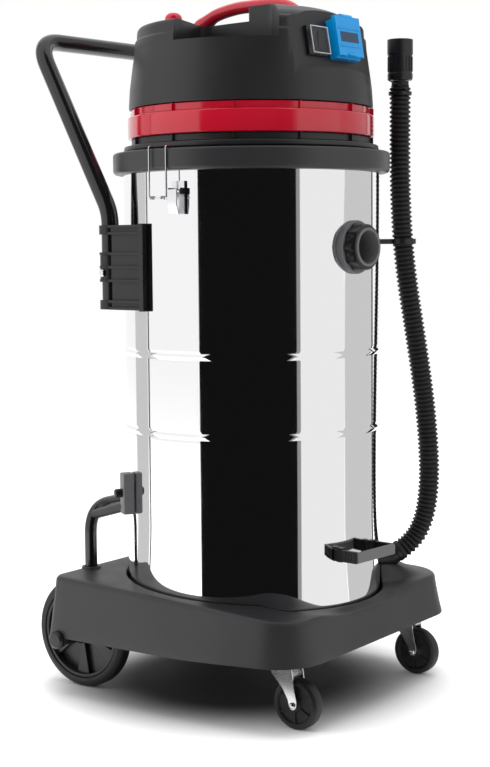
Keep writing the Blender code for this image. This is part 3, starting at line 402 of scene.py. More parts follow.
def hose_clip():
    """Strap round the hose on an arm from the inlet collar's side, with its closing tab."""
    r, z = HOSE_ROUTE[11]
    low, high = z - 0.0042, z + 0.0042
    where = TANK @ facing(HOSE_ANGLE)
    loop = turned(rounded_loop([(HOSE_R + 0.0008, low), (HOSE_R + 0.0036, low), (HOSE_R + 0.0036, high),
                                (HOSE_R + 0.0008, high)], 0.0008, 3), 48, closed=True,
                  matrix=Matrix.Translation((0, -r, 0)))
    box((-0.0055, -r + HOSE_R, z - 0.0040), (0.0055, -0.2003, z + 0.0040), loop)
    box((0.0080, -r - HOSE_R - 0.0026, z - 0.0030), (0.0230, -r - HOSE_R + 0.0006, z + 0.0030), loop)
    box((-0.014, -0.2030, z - 0.009), (0.014, -0.2003, z + 0.009), loop)
    piece("hose_strap", loop, "black_plastic", replaces=["hose_clip"], matrix=where, bevel=0.0008)


# ---- Tank ---------------------------------------------------------------------------------------
def tank():
    outside = [(0, 0.1405), (0.188, 0.1405), (0.197, 0.1445), (TANK_R, 0.1535), (TANK_R, 0.1550)]
    for z in (0.415, 0.533):
        outside += [(TANK_R, z - 0.0090), (TANK_R, z - 0.0075), (TANK_R - 0.0004, z - 0.0050),
                    (TANK_R + 0.0010, z - 0.0025), (TANK_R + 0.0018, z), (TANK_R + 0.0010, z + 0.0025),
                    (TANK_R - 0.0004, z + 0.0050), (TANK_R, z + 0.0075), (TANK_R, z + 0.0090)]
    outside += [(TANK_R, 0.832), (TANK_R - 0.0015, 0.832), (TANK_R - 0.0015, 0.156), (0.188, 0.142),
                (0, 0.142)]
    shell = piece("steel_tank", turned(outside, 192), "mirror_steel", replaces=["tank_shell"], angle=50)
    hole = tool(turned([(0, 0.15), (0.0293, 0.15), (0.0293, 0.25), (0, 0.25)], 48,
                       matrix=Matrix.Translation((0, 0, 0.692)) @ FRONTWARDS))
    carve(shell, hole)
    seam = box((-0.0005, -TANK_R - 0.0002, 0.160), (0.0005, -TANK_R + 0.001, 0.804))
    piece("tank_seam", seam, "mirror_steel", matrix=TANK @ facing(math.radians(172)))
    rim = rounded_loop([(0.2003, 0.806), (0.2125, 0.806), (0.2155, 0.810), (0.2155, 0.8355),
                        (0.2130, 0.838), (0.1965, 0.838), (0.1965, 0.8325), (0.2003, 0.8325)], 0.0022, 4)
    body = turned(rim, 192, closed=True)
    piece("rim_ring", body, "black_plastic", replaces=["tank_rim"], look="rim_plastic")


def inlet():
    """Thin flange on the wall, a lobed grip and the open spigot."""
    at = TANK @ Matrix.Translation((0, 0, 0.692)) @ FRONTWARDS
    flange = turned(rounded_loop([(0.0296, 0.193), (0.0398, 0.193), (0.0398, 0.2055), (0.0385, 0.2068),
                                  (0.0296, 0.2068)], 0.001, 3), 96, closed=True)
    wall = tool(turned([(0, 0.5), (0.2004, 0.5), (0.2004, 0.9), (0, 0.9)], 192))
    flange = piece("inlet_flange", flange, "black_plastic", matrix=at, look="grey_plastic")
    carve(flange, wall)
    lobes, count = 10, 120
    rows = ((0.0345, 0.2045, 0.0), (0.0362, 0.2060, 0.0012), (0.0358, 0.2160, 0.0016),
            (0.0350, 0.2200, 0.0010), (0.0340, 0.2224, 0.0003), (0.0320, 0.2246, 0.0),
            (0.0296, 0.2250, 0.0), (0.0296, 0.2045, 0.0))
    grip = bmesh.new()
    loops = []
    for radius, height, lobe in rows:
        loop = []
        for i in range(count):
            angle = 2 * math.pi * i / count
            r = radius + lobe * math.cos(lobes * angle) - lobe
            loop.append(grip.verts.new((r * math.cos(angle), r * math.sin(angle), height)))
        loops.append(loop)
    for lower, upper in zip(loops, [*loops[1:], loops[0]]):
        join_loops(grip, lower, upper)
    piece("inlet_grip", grip, "black_plastic", replaces=["inlet_ring"], matrix=at)
    spigot = rounded_loop([(0.0246, 0.187), (0.0289, 0.187), (0.0289, 0.2262), (0.0280, 0.2269),
                           (0.0246, 0.2269)], 0.0008, 3)
    tube = turned(spigot, 64, closed=True)
    piece("inlet_tube", tube, "black_plastic", replaces=["inlet_spigot"], matrix=at, look="grey_plastic")
    soften_edges(frame["nodes"]["inlet_deflector"], 0.001)


def pull_loop():
    """Grey grip bar between two flat ribbed arms."""
    bar = box((-0.0478, -0.2412, 0.2262), (0.0478, -0.2352, 0.2432))
    piece("pull_loop", bar, "trolley_plastic", replaces=["front_pull_handle"], look="grey_plastic",
          bevel=0.0028)
    arms = bmesh.new()
    for side in (-1, 1):
        box((side * 0.0415, -0.2372, 0.2260), (side * 0.0478, -0.1960, 0.2434), arms)
        box((side * 0.0330, -0.2080, 0.2240), (side * 0.0440, -0.1980, 0.2454), arms)
        for i in range(7):
            y = -0.2400 + 0.0052 * i
            box((side * 0.0470, y, 0.2264), (side * 0.0484, y + 0.0028, 0.2430), arms)
    piece("pull_loop_arms", arms, "trolley_plastic", look="black_plastic", bevel=0.0006)


def bracket(side, label):
    """Saddle plate on the tank and ribbed clamp bands round the leg."""
    leg_x, leg_y = side * 0.188, 0.1246
    body = bmesh.new()

    def slab(x0, y0, z0, x1, y1, z1):
        box((side * x0, y0, z0), (side * x1, y1, z1), body)
    slab(0.1860, 0.0385, 0.5985, 0.2060, 0.0475, 0.7295)
    slab(0.1860, 0.0460, 0.6020, 0.2015, 0.1080, 0.7260)
    for z0, z1, x1 in ((0.600, 0.604, 0.2062), (0.6105, 0.6145, 0.2062), (0.6420, 0.6460, 0.2062),
                       (0.6625, 0.6665, 0.2062), (0.6830, 0.6870, 0.2062), (0.7135, 0.7175, 0.2062),
                       (0.724, 0.728, 0.2062)):
        slab(0.1850, 0.0405, z0, x1, 0.1120, z1)
    for z0, z1 in ((0.600, 0.614), (0.642, 0.687), (0.714, 0.728)):
        slab(0.1400, 0.060, z0, 0.1995, 0.1120, z1)
    clamp = piece("bracket_plate_" + label, body, "black_plastic", matrix=TANK)
    collars = []
    for z0, z1 in ((0.600, 0.614), (0.642, 0.687), (0.714, 0.728)):
        rings = [z0, z0 + 0.004, z1 - 0.004, z1] if z1 - z0 > 0.02 else [z0, z1]
        profile = [(0.0137, z0), (0.0170, z0), (0.0170, z1), (0.0137, z1)]
        if len(rings) == 4:
            middle = (z0 + z1) / 2
            profile = [(0.0137, z0), (0.0170, z0), (0.0170, z0 + 0.004), (0.0160, z0 + 0.0045),
                       (0.0160, middle - 0.0025), (0.0170, middle - 0.002), (0.0170, middle + 0.002),
                       (0.0160, middle + 0.0025), (0.0160, z1 - 0.0045), (0.0170, z1 - 0.004), (0.0170, z1),
                       (0.0137, z1)]
        collars.append(profile)
    rings = bmesh.new()
    for profile in collars:
        turned(profile, 48, closed=True, bm=rings, matrix=Matrix.Translation((leg_x, leg_y, 0)))
    piece("bracket_collars_" + label, rings, "black_plastic", replaces=["handle_bracket_" + label])
    wall = tool(turned([(0, 0.5), (TANK_R + 0.0004, 0.5), (TANK_R + 0.0004, 0.9), (0, 0.9)], 192))
    leg = tool(turned([(0, 0.55), (0.0138, 0.55), (0.0138, 0.85), (0, 0.85)], 48,
                      matrix=Matrix.Translation((leg_x, leg_y, 0))))
    apply_booleans_one_by_one(clamp, (wall, leg))
    soften_edges(clamp, 0.0006, 1)


def apply_booleans_one_by_one(obj, tools):
    """The plate is several boxes that touch, so they are first made one solid by a union with itself."""
    step = obj.modifiers.new("merge", "BOOLEAN")
    step.operation = "UNION"
    step.solver = "EXACT"
    step.use_self = True
    blank = tool(box((3.0, 3.0, 3.0), (3.01, 3.01, 3.01)), Matrix.Identity(4))
    step.object = blank
    apply_modifiers(obj)
    bpy.data.objects.remove(blank)
    strays = [v for v in obj.data.vertices if v.co.x > 2]
    if strays:
        bm = bmesh.new()
        bm.from_mesh(obj.data)
        bmesh.ops.delete(bm, geom=[v for v in bm.verts if v.co.x > 2], context="VERTS")
        bm.to_mesh(obj.data)
        bm.free()
    carve(obj, *tools)


def push_handle():
    half = [(0.188, 0.1246, 0.607), (0.188, 0.1246, 0.7476), (0.188, 0.283, 1.021)]
    line = [(-x, y, z) for x, y, z in half] + half[::-1]
    path = rounded(line, [0.019, 0.048, 0.048, 0.019], 14)
    piece("push_bar", sweep(path, 0.0134, 32), "black_paint", replaces=["push_handle"], bevel=0.001)
    piece("rear_hoop_bar", sweep(rounded(HOOP_LEGS, 0.045, 16), 0.0099, 28), "black_paint",
          replaces=["rear_hoop"], matrix=TROLLEY)


def latch(side, label):
    """Lever, sprung rod and the two wire hooks over the rim."""
    angle = side * math.radians(84)
    at = TANK @ facing(angle)
    pin_r, pin_z, rod_r, rod_z = 0.2105, 0.776, 0.2172, 0.766
    wires = bmesh.new()
    for near in (0.0015, 0.0325):
        x = side * near
        hook = [(x, -rod_r, rod_z), (x, -rod_r, 0.8405), (x, -0.2080, 0.8417)]
        sweep(rounded(hook, 0.003, 4), 0.00135, 10, bm=wires)
    sweep([(side * -0.0195, -rod_r, rod_z), (side * 0.0340, -rod_r, rod_z)], 0.00115, 10, bm=wires)
    for centre in (0.0072, 0.0268):
        coil = []
        for i in range(73):
            turn = 2 * math.pi * i / 12
            coil.append((side * (centre - 0.0035 + 0.007 * i / 72), -rod_r + 0.0023 * math.cos(turn),
                         rod_z + 0.0023 * math.sin(turn)))
        sweep(coil, 0.0005, 6, bm=wires)
    piece("latch_hooks_" + label, wires, "zinc", body="bail_" + label, replaces=["latch_bail_" + label],
          matrix=at)
    lever = bmesh.new()
    drop, out = rod_z - pin_z, rod_r - pin_r
    profile = [(-0.0012, 0.0026), (out + 0.0012, 0.0016), (out + 0.0018, drop - 0.010),
               (0.0035, drop - 0.0236), (0.0021, drop - 0.0238), (out + 0.0002, drop - 0.010),
               (out - 0.0006, 0.0002), (-0.0012, 0.0010)]
    middle = side * -0.0095
    across = Matrix(((0, 0, 1, 0), (-1, 0, 0, 0), (0, 1, 0, 0), (0, 0, 0, 1)))
    flat = Matrix.Translation((middle, -pin_r, pin_z)) @ across
    prism(profile, -0.0086, 0.0086, lever, flat)
    sweep([(middle - 0.0090, -pin_r, pin_z), (middle + 0.0090, -pin_r, pin_z)], 0.0019, 14, bm=lever)
    piece("latch_paddle_" + label, lever, "zinc", body="lever_" + label, replaces=["latch_lever_" + label],
          matrix=at, bevel=0.0004)


# ---- Head ---------------------------------------------------------------------------------------
def head_plate():
    low = 0.8395
    lip = rounded_loop([(0.0205, 0.8375), (0.1935, 0.8375), (0.1935, low), (0.1965, low),
                        (0.1985, low + 0.0018), (0.1975, low + 0.0085), (0.186, low + 0.010),
                        (0.186, 0.8597), (0.178, 0.8597), (0.178, low + 0.005), (0.0205, low + 0.005)],
                       0.0018, 3)
    plate = turned(lip, 160, closed=True)
    piece("head_lip", plate, "head_plastic", body="head", replaces=["head_base"])
    ribs = bmesh.new()
    for i in range(12):
        spoke = facing(math.radians(30 * i + 2.7))
        box((-0.0007, -0.1902, low + 0.009), (0.0007, -0.184, 0.8598), ribs, spoke)
    piece("neck_ribs", ribs, "head_plastic", body="head", bevel=0.0003)


def red_band():
    low, high = 0.860, 0.9045
    band = rounded_loop([(0.179, low), (0.1905, low), (0.1916, low + 0.0015), (0.1916, high - 0.013),
                         (0.1900, high - 0.0110), (0.1862, high - 0.0105), (0.1862, high), (0.179, high)],
                        0.0012, 4)
    body = turned(band, 192, closed=True)
    for i in range(12):
        spoke = facing(math.radians(30 * i + 2.7))
        box((-0.0008, -0.1908, high - 0.0112), (0.0008, -0.184, high - 0.0003), body, spoke)
    piece("red_collar", body, "red_plastic", body="head", replaces=["red_band"])


def head_cover():
    """Drum with two hand recesses beside the grip, and the sloped tower with the panel."""
    low, floor = 0.9055, 0.9965
    drum = [(0, low), (0.1897, low), (0.1897, 0.909), (0.1880, 0.935), (0.1840, 0.965), (0.1800, 0.992),
            (0.1788, 1.008), (0.1762, 1.0105), (0.1753, 1.024), (0.1725, 1.0285), (0.165, 1.0300),
            (0.10, 1.033), (0, 1.0345)]
    drum = rounded(drum, 0.003, 4)
    shape = piece("cover_shell", turned(drum, 144), "head_plastic", body="head", replaces=["head_cover"],
                  matrix=Matrix())
    tower = rounded([(0, 0.97), (0.150, 0.97), (0.1798, 0.985), (0.1745, 1.015), (0.160, 1.036),
                     (0.130, 1.049), (0.09, 1.055), (0, 1.056)], 0.010, 5)
    tower = tool(turned(tower, 144), Matrix())
    plan = [(-0.17, -0.2), (0.17, -0.2), (0.10, -0.115), (0.045, -0.060), (0.045, -0.032), (-0.045, -0.032),
            (-0.045, -0.060), (-0.10, -0.115)]
    mould = tool(prism([tuple(p) for p in rounded_loop(plan, 0.008, 4)], 0.9, 1.1), Matrix())
    step = tower.modifiers.new("plan", "BOOLEAN")
    step.operation = "INTERSECT"
    step.solver = "EXACT"
    step.object = mould
    apply_modifiers(tower)
    bpy.data.objects.remove(mould)
    step = shape.modifiers.new("tower", "BOOLEAN")
    step.operation = "UNION"
    step.solver = "EXACT"
    step.object = tower
    apply_modifiers(shape)
    bpy.data.objects.remove(tower)
    tools = []
    for side in (-1, 1):
        recess = [(side * 0.26, -0.175), (side * 0.1036, -0.1446), (side * 0.050, -0.085),
                  (side * 0.045, -0.060), (side * 0.045, 0.040), (side * 0.060, 0.052),
                  (side * 0.178, -0.004), (side * 0.26, -0.030)]
        tools.append(tool(prism([tuple(p) for p in rounded_loop(recess, 0.010, 4)], floor, 1.1), Matrix()))
    leaning = Matrix.Translation((0, PANEL_Y, 1.0)) @ Matrix.Rotation(-PANEL_TILT, 4, "X")
    tools.append(tool(box((-0.3, -0.3, -0.050), (0.3, 0.0, 0.2), matrix=leaning), Matrix()))
    tools.append(tool(turned([(0, 0.98), (0.0154, 0.98), (0.0154, 1.08), (0, 1.08)], 32,
                             matrix=Matrix.Translation((0, 0.163, 0))), Matrix()))
    carve(shape, *tools)
    shape.data.transform(TANK)
    soften_edges(shape, 0.0022, 3, 34)
    shape.data.update()


def carry_grip():
    """Arched grip with a spread foot, and the round filter button behind it."""
    top = 1.0640
    line = smooth_path([(0, 0.108, 1.0300), (0, 0.102, 1.0410), (0, 0.091, 1.0475), (0, 0.069, 1.0575),
                        (0, 0.030, top - 0.0005), (0, -0.005, top), (0, -0.040, top - 0.0010),
                        (0, -0.062, 1.0605), (0, -0.080, 1.0540), (0, -0.094, 1.0440)], 10)
    radii = [0.0100 + 0.0035 * ramp(p.y, 0.075, 0.105) for p in line]
    bar = sweep(line, radii, 28, flat=(1.15, 0.98), up=(0, 0, 1))
    piece("grip", bar, "red_plastic", body="head", replaces=["carry_handle"])
    knob = rounded([(0, 1.008), (0.0146, 1.008), (0.0148, 1.057), (0.0136, 1.065), (0.0090, 1.0700),
                    (0, 1.0718)], 0.003, 5)
    cap = turned(knob, 48, matrix=Matrix.Translation((0, 0.163, 0)))
    for i in range(12):
        flute = Matrix.Translation((0, 0.163, 0)) @ Matrix.Rotation(2 * math.pi * i / 12, 4, "Z")
        box((0.0138, -0.0008, 1.0365), (0.0150, 0.0008, 1.0540), cap, flute)
    piece("button_cap", cap, "red_plastic", body="button", replaces=["filter_button"])
    soften_edges(frame["nodes"]["cable_gland"], 0.0006)


def panel_at(x, out, z):
    return (TANK @ Matrix.Translation((0, PANEL_Y, 1.0)) @ Matrix.Rotation(-PANEL_TILT, 4, "X")
            @ Matrix.Translation((x, -out, z)))


def control_panel():
    """Blank label and lip on the outlet's lid, and painted highlights along the clear hood's edges beside it.
    """
    nodes = frame["nodes"]
    for name, width in (("switch_bezel", 0.0012), ("switch_cover", 0.0016), ("socket_body", 0.0022),
                        ("socket_lid", 0.0022), ("rocker_left", 0.0007), ("rocker_right", 0.0007)):
        soften_edges(nodes[name], width, 3)
    label = box((-0.0215, -0.00835, -0.0390), (0.0215, -0.0079, -0.0240))
    hinge = panel_at(0.0255, 0.0113, 0.0320)
    piece("lid_label", label, "blue_plastic", body="outlet_lid", matrix=hinge, look="label_grey")
    ridges = bmesh.new()
    for z in (-0.0185, -0.0450):
        box((-0.0255, -0.0090, z - 0.0009), (0.0255, -0.0078, z + 0.0009), ridges)
    box((-0.009, -0.0105, -0.0597), (0.009, -0.0078, -0.0570), ridges)
    piece("lid_ridges", ridges, "blue_plastic", body="outlet_lid", matrix=hinge, bevel=0.0004)
    # painted highlights: light grey strips along the clear hood's edges stand for the light that these edges
    # catch
    edges = bmesh.new()
    for side in (-1, 1):
        box((-0.0203, -0.0128, side * 0.0190), (0.0203, -0.0118, side * 0.0204), edges)
        box((side * 0.0190, -0.0128, -0.0203), (side * 0.0204, -0.0118, 0.0203), edges)
    piece("hood_edge_highlights", edges, "clear_plastic", body="head", matrix=panel_at(-0.038, 0.0003, -0.007),
          look="painted_edge_highlight", bevel=0.0003)


# ---- Trolley ------------------------------------------------------------------------------------
def deck_distance(x, y, inset):
    corner, half_y = (0.065, 0.236) if y < 0 else (0.030, 0.240)
    dx = abs(x) - (0.240 - corner)
    dy = abs(y) - (half_y - corner)
    return math.hypot(max(dx, 0), max(dy, 0)) + min(max(dx, dy), 0) - corner + inset


def deck_radius(angle, inset):
    near, far = 0.1, 0.5
    for _ in range(40):
        middle = (near + far) / 2
        point = around(angle, middle)
        if deck_distance(point.x, point.y, inset) < 0:
            near = middle
        else:
            far = middle
    return near


def ramp(value, start, end):
    t = min(max((value - start) / (end - start), 0.0), 1.0)
    return t * t * (3 - 2 * t)


def deck_edge_z(point):
    dip = 0.014 * ramp(-point.y, 0.15, 0.20) * (1 - ramp(abs(point.x), 0.06, 0.17))
    return 0.174 + 0.045 * point.y - dip


def deck_inner_z(angle):
    """Height of the deck at the tank, with the hump that the drain comes over."""
    turn = math.degrees(angle)
    hump = 0.024 * ramp(turn, 34, 42) * (1 - ramp(turn, 62, 80))
    y = around(angle, 0.2035).y
    return 0.174 + 0.045 * y - 0.009 * ramp(-y, 0.115, 0.160) + hump


def trolley():
    """Skirt with a rounded shoulder, a slightly dished deck, and the collar that the tank stands in."""
    bm = bmesh.new()
    columns = []
    count = 216
    for i in range(count):
        angle = 2 * math.pi * i / count - math.pi
        edge = around(angle, deck_radius(angle, 0.012))
        foot = around(angle, deck_radius(angle, 0.0004))
        edge_z = deck_edge_z(edge) - 0.0003
        foot_z = 0.090 + 0.010 * ramp(-foot.y, 0.0, 0.24) + 0.0003
        inner_z = deck_inner_z(angle)
        out = edge.normalized()
        reach = edge.length
        collar_r = 0.2036
        span = reach - 0.007 - (collar_r + 0.004)
        rows = [(foot, foot_z), (foot, foot_z + 0.002)]
        for k in range(1, 4):
            rows.append((foot.lerp(edge, k / 4), foot_z + (edge_z - 0.008 - foot_z) * k / 4))
        for k in range(5):
            bend = math.radians(90 * k / 4)
            rows.append((out * (reach + 0.0006 - 0.007 * (1 - math.cos(bend))),
                         edge_z - 0.007 + 0.007 * math.sin(bend)))
        for k in range(1, 8):
            t = k / 8
            rise = edge_z + (inner_z - edge_z) * ramp(t, 0.0, 1.0)
            rows.append((out * (reach - 0.007 - span * t), rise))
        rows += [(out * (collar_r + 0.004), inner_z), (out * (collar_r + 0.0015), inner_z - 0.0008),
                 (out * collar_r, inner_z - 0.0035), (out * collar_r, 0.1402)]
        columns.append([bm.verts.new((p.x, p.y, z)) for p, z in rows])
        under = [(out * (collar_r + 0.003), 0.137), (out * (collar_r + 0.003), inner_z - 0.005),
                 (out * (reach - 0.008), edge_z - 0.006), (out * (foot.length - 0.004), foot_z)]
        columns[-1] += [bm.verts.new((p.x, p.y, z)) for p, z in under]
    loops = [list(loop) for loop in zip(*columns)]
    for lower, upper in zip(loops, [*loops[1:], loops[0]]):
        join_loops(bm, lower, upper)
    bmesh.ops.triangulate(bm, faces=bm.faces)
    base = piece("deck_moulding", bm, "trolley_plastic", replaces=["trolley_base"], matrix=Matrix())
    wells = [tool(box((side * 0.154, 0.20, 0.05), (side * 0.2, 0.30, 0.1765)), Matrix()) for side in (-1, 1)]
    start = Vector(HOSE_ROUTE[0])
    away = (Vector(HOSE_ROUTE[1]) - start).normalized()
    corner = start - away * 0.020
    notch = rounded([(0, -0.19, corner.y), (0, -corner.x, corner.y), (0, -start.x, start.y)], 0.012, 4)
    wells.append(tool(sweep(notch, 0.016, 24), Matrix.Rotation(HOSE_ANGLE + TANK_TURN, 4, "Z")))
    carve(base, *wells)
    base.data.transform(TROLLEY)
    soften_edges(base, 0.0008, 2, 50)
    pan = turned([(0, 0.1362), (0.206, 0.1362), (0.206, 0.1399), (0, 0.1399)], 96)
    piece("pan_floor", pan, "trolley_plastic", matrix=TROLLEY)
    fittings = bmesh.new()
    for side in (-1, 1):
        box((side * 0.1385, 0.166, 0.075), (side * 0.1475, 0.231, 0.1760), fittings)
        outwards = Matrix.Rotation(side * math.radians(90), 4, "Y")
        turned([(0, 0.2335), (0.0132, 0.2335), (0.0132, 0.2394), (0, 0.2394)], 40, bm=fittings,
               matrix=Matrix.Translation((0, 0.207, 0.087)) @ outwards)
        turned([(0, 0.1001), (0.0295, 0.1001), (0.0295, 0.157), (0, 0.157)], 48, bm=fittings,
               matrix=Matrix.Translation((side * 0.176, -0.178, 0)))
        socket = rounded_loop([(0.0103, 0.176), (0.0165, 0.176), (0.0150, 0.1865), (0.0103, 0.1865)],
                              0.001, 3)
        turned(socket, 40, closed=True, bm=fittings, matrix=Matrix.Translation((side * 0.146, 0.217, 0)))
    piece("trolley_fittings", fittings, "trolley_plastic", matrix=TROLLEY, bevel=0.0008)
    end = start - away * 0.0004
    elbow = rounded([(0, -0.1995, corner.y), (0, -corner.x, corner.y), (0, -end.x, end.y)], 0.012, 8)
    bend = sweep(elbow, 0.0148, 32)
    collar = evenly([elbow[-1], elbow[-1] - (elbow[-1] - elbow[-2]).normalized() * 0.007], 0.0034)
    piece("drain_bend", bend, "black_plastic", replaces=["drain_elbow"], matrix=TANK @ facing(HOSE_ANGLE),
          bevel=0.0006)
    piece("drain_collar", sweep(collar, 0.0163, 32), "black_plastic", matrix=TANK @ facing(HOSE_ANGLE),
          bevel=0.0008)


def hoop_block():
    """Rest on the tank's wall with its arm to the hoop and its round clamp knob."""
    towards = facing(math.radians(-124))
    wall_space = [(0, 0.2), (0.2009, 0.2), (0.2009, 0.4), (0, 0.4)]
    block = piece("hoop_rest", box((-0.0108, -0.2183, 0.2842), (0.0108, -0.1950, 0.3478), matrix=towards),
                  "trolley_plastic", replaces=["hoop_block"], matrix=Matrix(), look="grey_plastic")
    carve(block, tool(turned(wall_space, 160), Matrix()))
    block.data.transform(TROLLEY)
    soften_edges(block, 0.0022, 3)
    arm = piece("hoop_rest_arm", sweep([(-0.1715, 0.1230, 0.2950), (-0.1390, 0.2170, 0.2680)], 0.0078, 24),
                "trolley_plastic", matrix=Matrix())
    carve(arm, tool(sweep(rounded(HOOP_LEGS, 0.045, 16), 0.0101, 28), Matrix()),
          tool(turned(wall_space, 160), Matrix()))
    arm.data.transform(TROLLEY)
    knob = rounded([(0, 0.2189), (0.0069, 0.2189), (0.0069, 0.2275), (0.0052, 0.2300), (0, 0.2303)],
                   0.0010, 3)
    turned_knob = turned(knob, 40, matrix=Matrix.Translation((0, 0, 0.317)) @ FRONTWARDS)
    piece("hoop_knob", turned_knob, "black_plastic", replaces=["hoop_bolt"], matrix=TROLLEY @ towards)


def rear_wheel(side, label):
    """Tyre, rim, and a recessed disc with spokes that widen towards the rim."""
    at = TROLLEY @ Matrix.Translation((0, 0.207, 0.087)) @ Matrix.Rotation(side * math.radians(90), 4, "Y")
    inner, outer = 0.160, 0.189
    tread = rounded_loop([(0.0722, inner), (0.0800, inner), (0.0868, inner + 0.0055),
                          (0.0868, outer - 0.0055), (0.0800, outer), (0.0722, outer)], 0.003, 4)
    tyre = turned(tread, 128, closed=True)
    piece("tyre_" + label, tyre, "rubber", body="rear_wheel_set_" + label, replaces=["rear_tyre_" + label],
          matrix=at)
    wheel = turned(rounded_loop([(0.0665, inner + 0.002), (0.0719, inner + 0.002), (0.0719, outer - 0.002),
                                 (0.0665, outer - 0.002)], 0.001, 2), 96, closed=True)
    turned(rounded_loop([(0.0065, inner - 0.006), (0.0180, inner - 0.006), (0.0175, outer - 0.002),
                         (0.0130, outer + 0.006), (0.0108, 0.2328), (0.0065, 0.2328)], 0.001, 2), 64,
           closed=True, bm=wheel)
    turned([(0.0160, inner + 0.010), (0.0670, inner + 0.010), (0.0670, inner + 0.0135),
            (0.0160, inner + 0.0135)], 64, closed=True, bm=wheel)
    for i in range(6):
        spoke = Matrix.Rotation(2 * math.pi * i / 6, 4, "Z")
        outline = [(0.0150, -0.0030), (0.0672, -0.0120), (0.0672, 0.0120), (0.0150, 0.0030)]
        prism(outline, inner + 0.012, outer - 0.008, wheel, spoke)
    piece("wheel_" + label, wheel, "black_plastic", body="rear_wheel_set_" + label,
          replaces=["rear_wheel_" + label], matrix=at, bevel=0.0006)


def caster(side, label):
    """Pressed fork on a ball race, domed axle nuts, and a wheel with a moulded hub."""
    pivot = TROLLEY @ Matrix.Translation((side * 0.176, -0.178, 0))
    race = rounded_loop([(0.0054, 0.0900), (0.0205, 0.0900), (0.0210, 0.0925), (0.0205, 0.0960),
                         (0.0054, 0.0960)], 0.001, 3)
    fork = turned(race, 64, closed=True)
    cheek = [(-0.0180, 0.0930), (-0.0190, 0.0850), (-0.0225, 0.0620), (-0.0275, 0.0420), (-0.0255, 0.0335),
             (-0.0200, 0.0300), (-0.0145, 0.0335), (-0.0120, 0.0450), (-0.0020, 0.0620), (0.0120, 0.0760),
             (0.0180, 0.0840), (0.0180, 0.0930)]
    outline = [tuple(p) for p in rounded_loop(cheek, 0.004, 3)]
    stand = Matrix(((0, 0, 1, 0), (1, 0, 0, 0), (0, 1, 0, 0), (0, 0, 0, 1)))
    for edge in (-1, 1):
        near = edge * 0.0131
        far = edge * 0.0154
        prism(outline, min(near, far), max(near, far), fork, stand)
    piece("fork_" + label, fork, "zinc", body="caster_swivel_" + label, replaces=["caster_fork_" + label],
          matrix=pivot, bevel=0.0007)
    axle = pivot @ Matrix.Translation((0, -0.020, 0.0375)) @ SIDEWAYS
    nut = rounded([(0, -0.0190), (0.0030, -0.0188), (0.0046, -0.0172), (0.0046, -0.0159), (0.0029, -0.0159),
                   (0.0029, 0.0159), (0.0046, 0.0159), (0.0046, 0.0172), (0.0030, 0.0188), (0, 0.0190)],
                  0.0004, 2)
    piece("axle_nut_" + label, turned(nut, 32), "zinc", body="caster_swivel_" + label,
          replaces=["caster_bolt_" + label], matrix=axle)
    tread = rounded_loop([(0.0034, -0.0118), (0.0100, -0.0118), (0.0110, -0.0075), (0.0270, -0.0070),
                          (0.0285, -0.0105), (0.0320, -0.0112), (0.0368, -0.0080), (0.0374, 0.0),
                          (0.0368, 0.0080), (0.0320, 0.0112), (0.0285, 0.0105), (0.0270, 0.0070),
                          (0.0110, 0.0075), (0.0100, 0.0118), (0.0034, 0.0118)], 0.002, 3)
    roller = turned(tread, 96, closed=True)
    for i in range(6):
        for edge in (-1, 1):
            spoke = Matrix.Rotation(math.pi * i / 3, 4, "Z")
            low, high = sorted((edge * 0.0068, edge * 0.0098))
            box((0.0095, -0.0011, low), (0.0278, 0.0011, high), roller, spoke)
    piece("roller_" + label, roller, "rubber", body="caster_roller_" + label,
          replaces=["caster_wheel_" + label], matrix=axle, bevel=0.0004)
    soften_edges(frame["nodes"]["caster_plate_" + label], 0.0008)


# ---- Studio -------------------------------------------------------------------------------------
def glow(name, colour, strength):
    made = bpy.data.materials.new(name)
    made.use_nodes = True
    tree = made.node_tree
    tree.nodes.clear()
    light = tree.nodes.new("ShaderNodeEmission")
    light.inputs["Color"].default_value = (*colour, 1.0)
    light.inputs["Strength"].default_value = strength
    out = tree.nodes.new("ShaderNodeOutputMaterial")
    tree.links.new(light.outputs["Emission"], out.inputs["Surface"])
    return made


def card(name, start, end, radius, low, high, brightness, towards):
    """Curved card round the tank between two angles from the camera's side. Only reflections show it."""
    bm = bmesh.new()
    columns = []
    for i in range(25):
        angle = towards + math.radians(start + (end - start) * i / 24)
        direction = Vector((math.cos(angle), math.sin(angle), 0))
        columns.append([bm.verts.new(direction * radius + Vector((0, 0, z))) for z in (low, high)])
    for a, b in zip(columns, columns[1:]):
        bm.faces.new([a[0], b[0], b[1], a[1]])
    reflection_only(name, bm, brightness)


def floor_card(name, start, end, near, far, brightness, towards):
    """Flat sector on the floor that only reflections show, below a curved card."""
    bm = bmesh.new()
    columns = []
    for i in range(25):
        angle = towards + math.radians(start + (end - start) * i / 24)
        direction = Vector((math.cos(angle), math.sin(angle), 0))
        columns.append([bm.verts.new(direction * radius + Vector((0, 0, 0.0012))) for radius in (near, far)])
    for a, b in zip(columns, columns[1:]):
        bm.faces.new([a[0], b[0], b[1], a[1]])
    reflection_only(name, bm, brightness)


def reflection_only(name, bm, brightness):
    mesh = bpy.data.meshes.new(name)
    bm.to_mesh(mesh)
    bm.free()
    obj = bpy.data.objects.new(name, mesh)
    bpy.context.scene.collection.objects.link(obj)
    obj.location = (0, AXIS_Y, 0)
    obj.data.materials.append(glow(name, (1, 1, 1), brightness))
    obj.visible_camera = False
    obj.visible_diffuse = False
    obj.visible_shadow = False
    obj.visible_transmission = False


